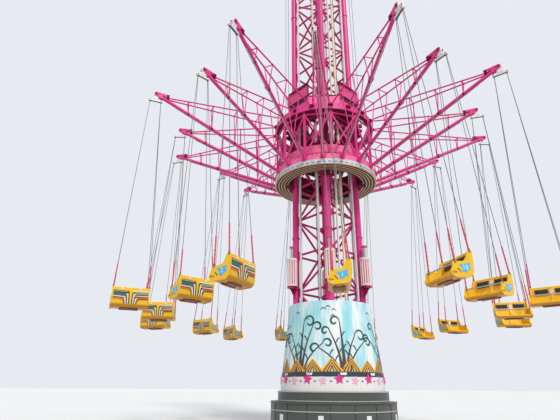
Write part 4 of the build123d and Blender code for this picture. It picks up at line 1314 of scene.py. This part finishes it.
def build_hanger(body, hang):
    """The white saddle on the pin, the bar with its round ends and dark strip, bolts and rope sockets."""
    saddle, dark = bmesh.new(), bmesh.new()
    lathe(saddle, [(0.0255, -0.055), (0.058, -0.055), (0.058, 0.055), (0.0255, 0.055)], 24)
    bmesh.ops.transform(saddle, matrix=Matrix.Rotation(pi / 2, 4, "X"), verts=saddle.verts)
    drop = -SPREADER_DROP
    cheek = rounded([(-0.05, -0.03), (0.05, -0.03), (0.11, drop + 0.05), (0.14, drop), (-0.14, drop),
                     (-0.11, drop + 0.05)], 0.02)
    for y in (-0.052, 0.032):
        cross_plate(saddle, cheek, y, y + 0.02)
    ends = SPREADER_L / 2 + 0.005
    foot = drop - SPREADER_W
    side = rounded([(-ends, drop + 0.012), (ends, drop + 0.012), (ends, foot), (-ends, foot)], 0.02)
    cross_plate(saddle, side, -0.046, 0.046)
    strip = rounded([(-ends + 0.04, foot + 0.004), (ends - 0.04, foot + 0.004), (ends - 0.05, foot - 0.008),
                     (-ends + 0.05, foot - 0.008)], 0.006)
    cross_plate(dark, strip, -0.022, 0.022)
    for s in (-1, 1):
        x, z = s * (ends - 0.012), drop - 0.02
        rod(saddle, (x, -0.06, z), (x, 0.06, z), 0.05, 24)
        for y in (-1, 1):
            rod(dark, (x, y * 0.058, z), (x, y * 0.068, z), 0.02, 12)
            rod(dark, (s * 0.06, y * 0.048, drop + 0.045), (s * 0.06, y * 0.06, drop + 0.045), 0.013, 6)
            rod(dark, (s * SOCKET_X, y * 0.019, foot + 0.01),
                (s * (SOCKET_X + 0.003), y * 0.019, foot - 0.05), 0.015, 10)
    piece(f"{body}_hanger", saddle, body, white(), matrix=hang, bevel=0.006)
    piece(f"{body}_hanger_fittings", dark, body, dark_steel(), matrix=hang)


def build_pads(body, seat):
    """The two crowned back pads of a chair."""
    pads = bmesh.new()
    for x in (-1, 1):
        place = Matrix.Translation((x * CHAIR_W * 0.24, CHAIR_D / 2 - 0.088, 0.462))
        merge(pads, pad_mesh(), place @ Matrix.Rotation(radians(-5), 4, "X"))
    vinyl = painted("Black vinyl", (0.018, 0.018, 0.02), gloss=0.38, streaks=0.05, bump=0.004)
    cushion = piece(f"{body}_pads", pads, body, vinyl, matrix=seat)


def build_numbers(body, seat, number, patch_colour):
    """The blue patch on each side of a chair with its plain number, and the curved mark in front of it."""
    patch, marks, digits = bmesh.new(), bmesh.new(), bmesh.new()
    half = CHAIR_W / 2
    blob = rounded([(0.04, 0.13), (0.0, 0.2), (0.1, 0.31), (-0.02, 0.3), (-0.22, 0.35), (-0.19, 0.27),
                    (-0.22, 0.19), (-0.14, 0.17), (-0.08, 0.1)], 0.025)
    edge = [(0.055 + 0.08 * i / 6, 0.12 + 0.1 * sin(pi * i / 12)) for i in range(7)]
    mark = edge + [(x + 0.012, z - 0.018) for x, z in reversed(edge)]
    for s in (-1, 1):
        slab(patch, blob, across(s * half), across(s * (half + 0.004)))
        slab(marks, mark, across(s * half), across(s * (half + 0.003)))
        turn = Matrix.Rotation(s * pi / 2, 4, "Z") @ Matrix.Rotation(pi / 2, 4, "X")
        place = Matrix.Translation((s * (half + 0.005), 0.07, 0.225)) @ turn
        merge(digits, number_mesh(number, 0.16), place)
    piece(f"{body}_patches", patch, body, painted("Patch blue", patch_colour), matrix=seat)
    piece(f"{body}_patch_rims", marks, body, band_black(), matrix=seat)
    piece(f"{body}_numbers", digits, body, white(), matrix=seat)


def pad_mesh():
    """A back pad with a crowned face and two sewn channels, centred on its rear face."""
    bm = bmesh.new()
    wide, tall, deep = 0.19, 0.09, 0.044
    columns, rows = 28, 14
    sheets = []
    for face in (0, 1):
        grid = []
        for i in range(columns + 1):
            u = -1 + 2 * i / columns
            line = []
            for j in range(rows + 1):
                v = -1 + 2 * j / rows
                edge = (1 - abs(u) ** 5) * (1 - abs(v) ** 4)
                crown = deep * (0.35 + 0.65 * max(edge, 0) ** 0.5)
                for channel in (-0.34, 0.34):
                    crown -= 0.008 * max(0.0, 1 - abs(u - channel) / 0.05)
                pull = 1 - 0.03 * (1 - abs(v) ** 2) * abs(u) ** 8
                y = -crown if face else 0.0
                squeeze = 1 - 0.05 * (1 - u * u) * abs(v) ** 8
                line.append(bm.verts.new((wide * u * pull, y, tall * v * squeeze)))
            grid.append(line)
        sheets.append(grid)
    for face, grid in enumerate(sheets):
        for i in range(columns):
            for j in range(rows):
                ring = (grid[i][j], grid[i + 1][j], grid[i + 1][j + 1], grid[i][j + 1])
                bm.faces.new(ring if face else tuple(reversed(ring)))
    back, front = sheets
    border = [(i, 0) for i in range(columns)] + [(columns, j) for j in range(rows)]
    border += [(i, rows) for i in range(columns, 0, -1)] + [(0, j) for j in range(rows, 0, -1)]
    loop_pair(bm, [back[i][j] for i, j in border], [front[i][j] for i, j in border])
    return bm


def number_mesh(number, height):
    """The digits of a chair number as a flat mesh, centred."""
    text = bpy.data.curves.new("digits", "FONT")
    text.body = str(number)
    text.size = height
    text.align_x = "CENTER"
    text.align_y = "CENTER"
    text.extrude = 0.002
    spare = bpy.data.objects.new("digits", text)
    bpy.context.scene.collection.objects.link(spare)
    mesh = bpy.data.meshes.new_from_object(spare.evaluated_get(bpy.context.evaluated_depsgraph_get()))
    bm = bmesh.new()
    bm.from_mesh(mesh)
    bpy.data.objects.remove(spare)
    bpy.data.meshes.remove(mesh)
    return bm


def sleeve(bm, start, end):
    """A soft tube round a rope, gathered into shallow folds and drawn in at both ends."""
    sizes = []
    steps = 22
    for k in range(steps + 1):
        share = k / steps
        fold = 0.004 * sin(share * 41) * (1 - abs(2 * share - 1))
        sizes.append(0.019 + fold + (0.0 if k in (0, steps) else 0.002))
    tube(bm, start, end, sizes, 12)


def build_chair(joint, number):
    """One hanging double chair with its hanger, ropes, sleeves, pads and number."""
    settings = bpy.context.scene.swing_ride_chairs
    angle, tip_r, tip_z = chair_base(joint)
    body = joint["child"]
    hang = Matrix.Rotation(angle, 4, "Z") @ Matrix.Translation((tip_r, 0, tip_z))
    low = SPREADER_DROP + SPREADER_W / 2
    trail = hang @ Matrix.Translation((0, 0, -low)) @ Matrix.Rotation(radians(TRAIL_DEG), 4, "X")
    foot_z = -(DROP + (tip_z - LONG_Z) - low) - CHAIR_H / 2
    seat = trail @ Matrix.Translation((0, 0, foot_z))
    finishes = chair_finishes(settings.shell)
    for name, bm in chair_meshes().items():
        finish, slot, bevel = finishes[name]
        nodes = [body] if name == "shell" else []
        piece(f"{body}_{name}", bm, body, finish, nodes, seat, bevel)
    build_pads(body, seat)
    build_ropes(body, trail, foot_z)
    build_hanger(body, hang)
    build_numbers(body, seat, number, settings.patch)


def build_ropes(body, trail, foot_z):
    """The four ropes of a chair, with a soft sleeve on the lowest part of each."""
    settings = bpy.context.scene.swing_ride_chairs
    ropes, sleeves = bmesh.new(), bmesh.new()
    wall_x = CHAIR_W / 2 - WALL_T / 2
    for x in (-1, 1):
        for y, seat_y, seat_z in ((-1, -CHAIR_D / 2 + 0.16, ARM_TOP), (1, CHAIR_D / 2 - 0.06, CHAIR_H)):
            top = Vector((x * SOCKET_X, y * 0.017, -0.02))
            foot = Vector((x * wall_x, seat_y, foot_z + seat_z + 0.002))
            rod(ropes, top, foot, settings.rope / 2, 8)
            along = (top - foot).normalized()
            sleeve(sleeves, foot + along * 0.04, foot + along * settings.sleeve)
    piece(f"{body}_ropes", ropes, body, rope_grey(), matrix=trail)
    cloth = painted("Sleeve pink", (0.66, 0.05, 0.13), gloss=0.55, fading=0.2, bump=0.006)
    piece(f"{body}_sleeves", sleeves, body, cloth, matrix=trail)


# Stage
def build_stage():
    """The floor, the sky, the sun and the camera."""
    settings = bpy.context.scene.swing_ride_stage
    build_floor(settings.floor)
    build_sky()
    build_sun()
    add_camera(settings)
    bpy.context.scene.view_settings.view_transform = "Standard"


def seen_rays(tree):
    """One for rays from the camera, from a gloss or through glass, and nought for the rest."""
    rays = add(tree, "LightPath").outputs
    seen = calc(tree, "MAXIMUM", rays["Is Camera Ray"], rays["Is Glossy Ray"])
    return calc(tree, "MAXIMUM", seen, rays["Is Transmission Ray"])


def build_floor(colour):
    """A floor that looks pale but throws little light up."""
    bm = bmesh.new()
    bmesh.ops.create_grid(bm, x_segments=1, y_segments=1, size=400)
    mesh = bpy.data.meshes.new("floor")
    bm.to_mesh(mesh)
    bm.free()
    floor = bpy.data.objects.new("floor", mesh)
    bpy.context.scene.collection.objects.link(floor)
    made, tree, shader = new_material("Floor")
    base = mixed(tree, seen_rays(tree), (0.45, 0.42, 0.4, 1), rgba(colour))
    tree.links.new(base, shader.inputs["Base Color"])
    shader.inputs["Roughness"].default_value = 0.9
    mesh.materials.append(made)


def build_sky():
    """A sky that lights the ride less than it shows."""
    world = bpy.context.scene.world or bpy.data.worlds.new("Sky")
    bpy.context.scene.world = world
    world.use_nodes = True
    tree = world.node_tree
    tree.nodes.clear()
    seen = add(tree, "Background", {"Color": (0.8, 0.83, 0.88, 1), "Strength": 1.0})
    light = add(tree, "Background", {"Color": (0.95, 0.97, 1.0, 1), "Strength": 0.66})
    both = add(tree, "MixShader", {0: seen_rays(tree), 1: light.outputs[0], 2: seen.outputs[0]})
    out = add(tree, "OutputWorld", {"Surface": both.outputs[0]})
    out.is_active_output = True


def build_sun():
    """A high sun with soft shadows."""
    lamp = bpy.data.lights.new("Sun", "SUN")
    lamp.energy = 2.2
    lamp.angle = radians(12)
    sun = bpy.data.objects.new("Sun", lamp)
    sun.rotation_euler = (radians(42), 0, radians(-22))
    bpy.context.scene.collection.objects.link(sun)


# The camera's place on the ground, its heading from +X, and its pitch and roll
CAMERA_X, CAMERA_Y = -13.433, -12.157
HEADING_DEG, PITCH_DEG, ROLL_DEG = 48.6, 22.026, -0.349


def add_camera(settings):
    """The camera, turned as the photograph was taken."""
    h, p, roll = (radians(v) for v in (HEADING_DEG, PITCH_DEG, ROLL_DEG))
    ahead = Vector((cos(h) * cos(p), sin(h) * cos(p), sin(p)))
    right = Vector((sin(h), -cos(h), 0))
    up = right.cross(ahead)
    tilted = right * cos(roll) - up * sin(roll)
    top = right * sin(roll) + up * cos(roll)
    lens = bpy.data.cameras.new("Camera")
    lens.lens = settings.lens
    lens.sensor_width = 36
    lens.clip_end = 1000
    camera = bpy.data.objects.new("Camera", lens)
    camera.matrix_world = Matrix((
        (tilted.x, top.x, -ahead.x, CAMERA_X), (tilted.y, top.y, -ahead.y, CAMERA_Y),
        (tilted.z, top.z, -ahead.z, settings.eye), (0, 0, 0, 1)))
    bpy.context.scene.collection.objects.link(camera)
    bpy.context.scene.camera = camera


# Operators and their panel
class SWINGRIDE_OT_tower(bpy.types.Operator):
    """Build the legs, the lattice, the buffers, the ropes and the crown of the tower"""
    bl_idname = "swing_ride.tower"
    bl_label = "Tower"

    def execute(self, context):
        build_legs()
        build_bracing()
        build_buffers()
        build_hoist_ropes()
        build_trunking()
        build_crown()
        build_crown_trims()
        dress("guide_rails", rail_white())
        dress("buffer_brackets", deep_pink())
        dress("crown_frame", pink())
        dress("crown_hood", painted("Hood paint", SLOTS["hood_paint"], coat=0.2))
        return {"FINISHED"}


class SWINGRIDE_OT_base(bpy.types.Operator):
    """Build the painted cone, the skirt with its stars and the plinth"""
    bl_idname = "swing_ride.base"
    bl_label = "Base"

    def execute(self, context):
        build_cone_painting()
        dress("base_cone", cone_wash())
        build_base_band()
        build_skirt_marks()
        build_plinth()
        dress("star_skirt", white())
        dress("foundation_plinth", painted("Plinth paint", (0.075, 0.09, 0.085), streaks=0.4))
        return {"FINISHED"}


class SWINGRIDE_OT_carriage(bpy.types.Operator):
    """Finish the carriage that climbs the tower"""
    bl_idname = "swing_ride.carriage"
    bl_label = "Carriage"

    def execute(self, context):
        build_carriage()
        dress("carriage_panels", panel_paint())
        build_rollers()
        # Painted shade: the dark maroon on the deck, the frame and the bearing ring stands for the shade under the
        # carriage.
        for node in ("carriage_deck", "carriage_frame", "bearing_ring"):
            dress(node, maroon())
        dress("rope_anchors", dark_steel())
        return {"FINISHED"}


class SWINGRIDE_OT_turntable(bpy.types.Operator):
    """Build the eighteen arms and finish the rings and the soffit"""
    bl_idname = "swing_ride.turntable"
    bl_label = "Turntable"

    def execute(self, context):
        build_rings()
        build_rim()
        dress_turntable()
        build_arms()
        return {"FINISHED"}


class SWINGRIDE_OT_chairs(bpy.types.Operator):
    """Build the hanging double chairs"""
    bl_idname = "swing_ride.chairs"
    bl_label = "Chairs"

    def execute(self, context):
        for number, joint in enumerate(SWINGS, 1):
            build_chair(joint, number)
        return {"FINISHED"}


class SWINGRIDE_OT_stage(bpy.types.Operator):
    """Set up the floor, the lamps and the camera"""
    bl_idname = "swing_ride.stage"
    bl_label = "Stage"

    def execute(self, context):
        build_stage()
        return {"FINISHED"}


class SWINGRIDE_PT_panel(bpy.types.Panel):
    """The settings and the steps of the swing ride"""
    bl_idname = "SWINGRIDE_PT_panel"
    bl_label = "Swing ride"
    bl_space_type = "VIEW_3D"
    bl_region_type = "UI"
    bl_category = "Swing ride"

    def draw(self, context):
        for name, fields in SETTINGS:
            for field in fields:
                self.layout.prop(getattr(context.scene, name), field)
        for step in STEPS:
            self.layout.operator("swing_ride." + step)


SETTINGS = (
    ("swing_ride_steel", ("pink", "deep_pink", "rail")),
    ("swing_ride_base", ("wash", "peaks", "stars", "star_radius")),
    ("swing_ride_chairs", ("shell", "patch", "rope", "sleeve")),
    ("swing_ride_stage", ("floor", "lens", "eye")),
)
STEPS = ("stage", "base", "tower", "carriage", "turntable", "chairs")
GROUPS = {
    "swing_ride_steel": SwingRideSteel, "swing_ride_base": SwingRideBase,
    "swing_ride_chairs": SwingRideChairs, "swing_ride_stage": SwingRideStage,
}
CLASSES = (
    *GROUPS.values(), SWINGRIDE_OT_stage, SWINGRIDE_OT_base, SWINGRIDE_OT_tower, SWINGRIDE_OT_carriage,
    SWINGRIDE_OT_turntable, SWINGRIDE_OT_chairs, SWINGRIDE_PT_panel,
)


def register():
    """Adds the classes and the settings to Blender."""
    for cls in CLASSES:
        bpy.utils.register_class(cls)
    for name, group in GROUPS.items():
        setattr(bpy.types.Scene, name, PointerProperty(type=group))


def unregister():
    """Takes the settings and the classes out again."""
    for name in GROUPS:
        delattr(bpy.types.Scene, name)
    for cls in reversed(CLASSES):
        bpy.utils.unregister_class(cls)


def main():
    """Builds the whole ride."""
    register()
    for step in STEPS:
        getattr(bpy.ops.swing_ride, step)()


if __name__ == "__main__":
    main()
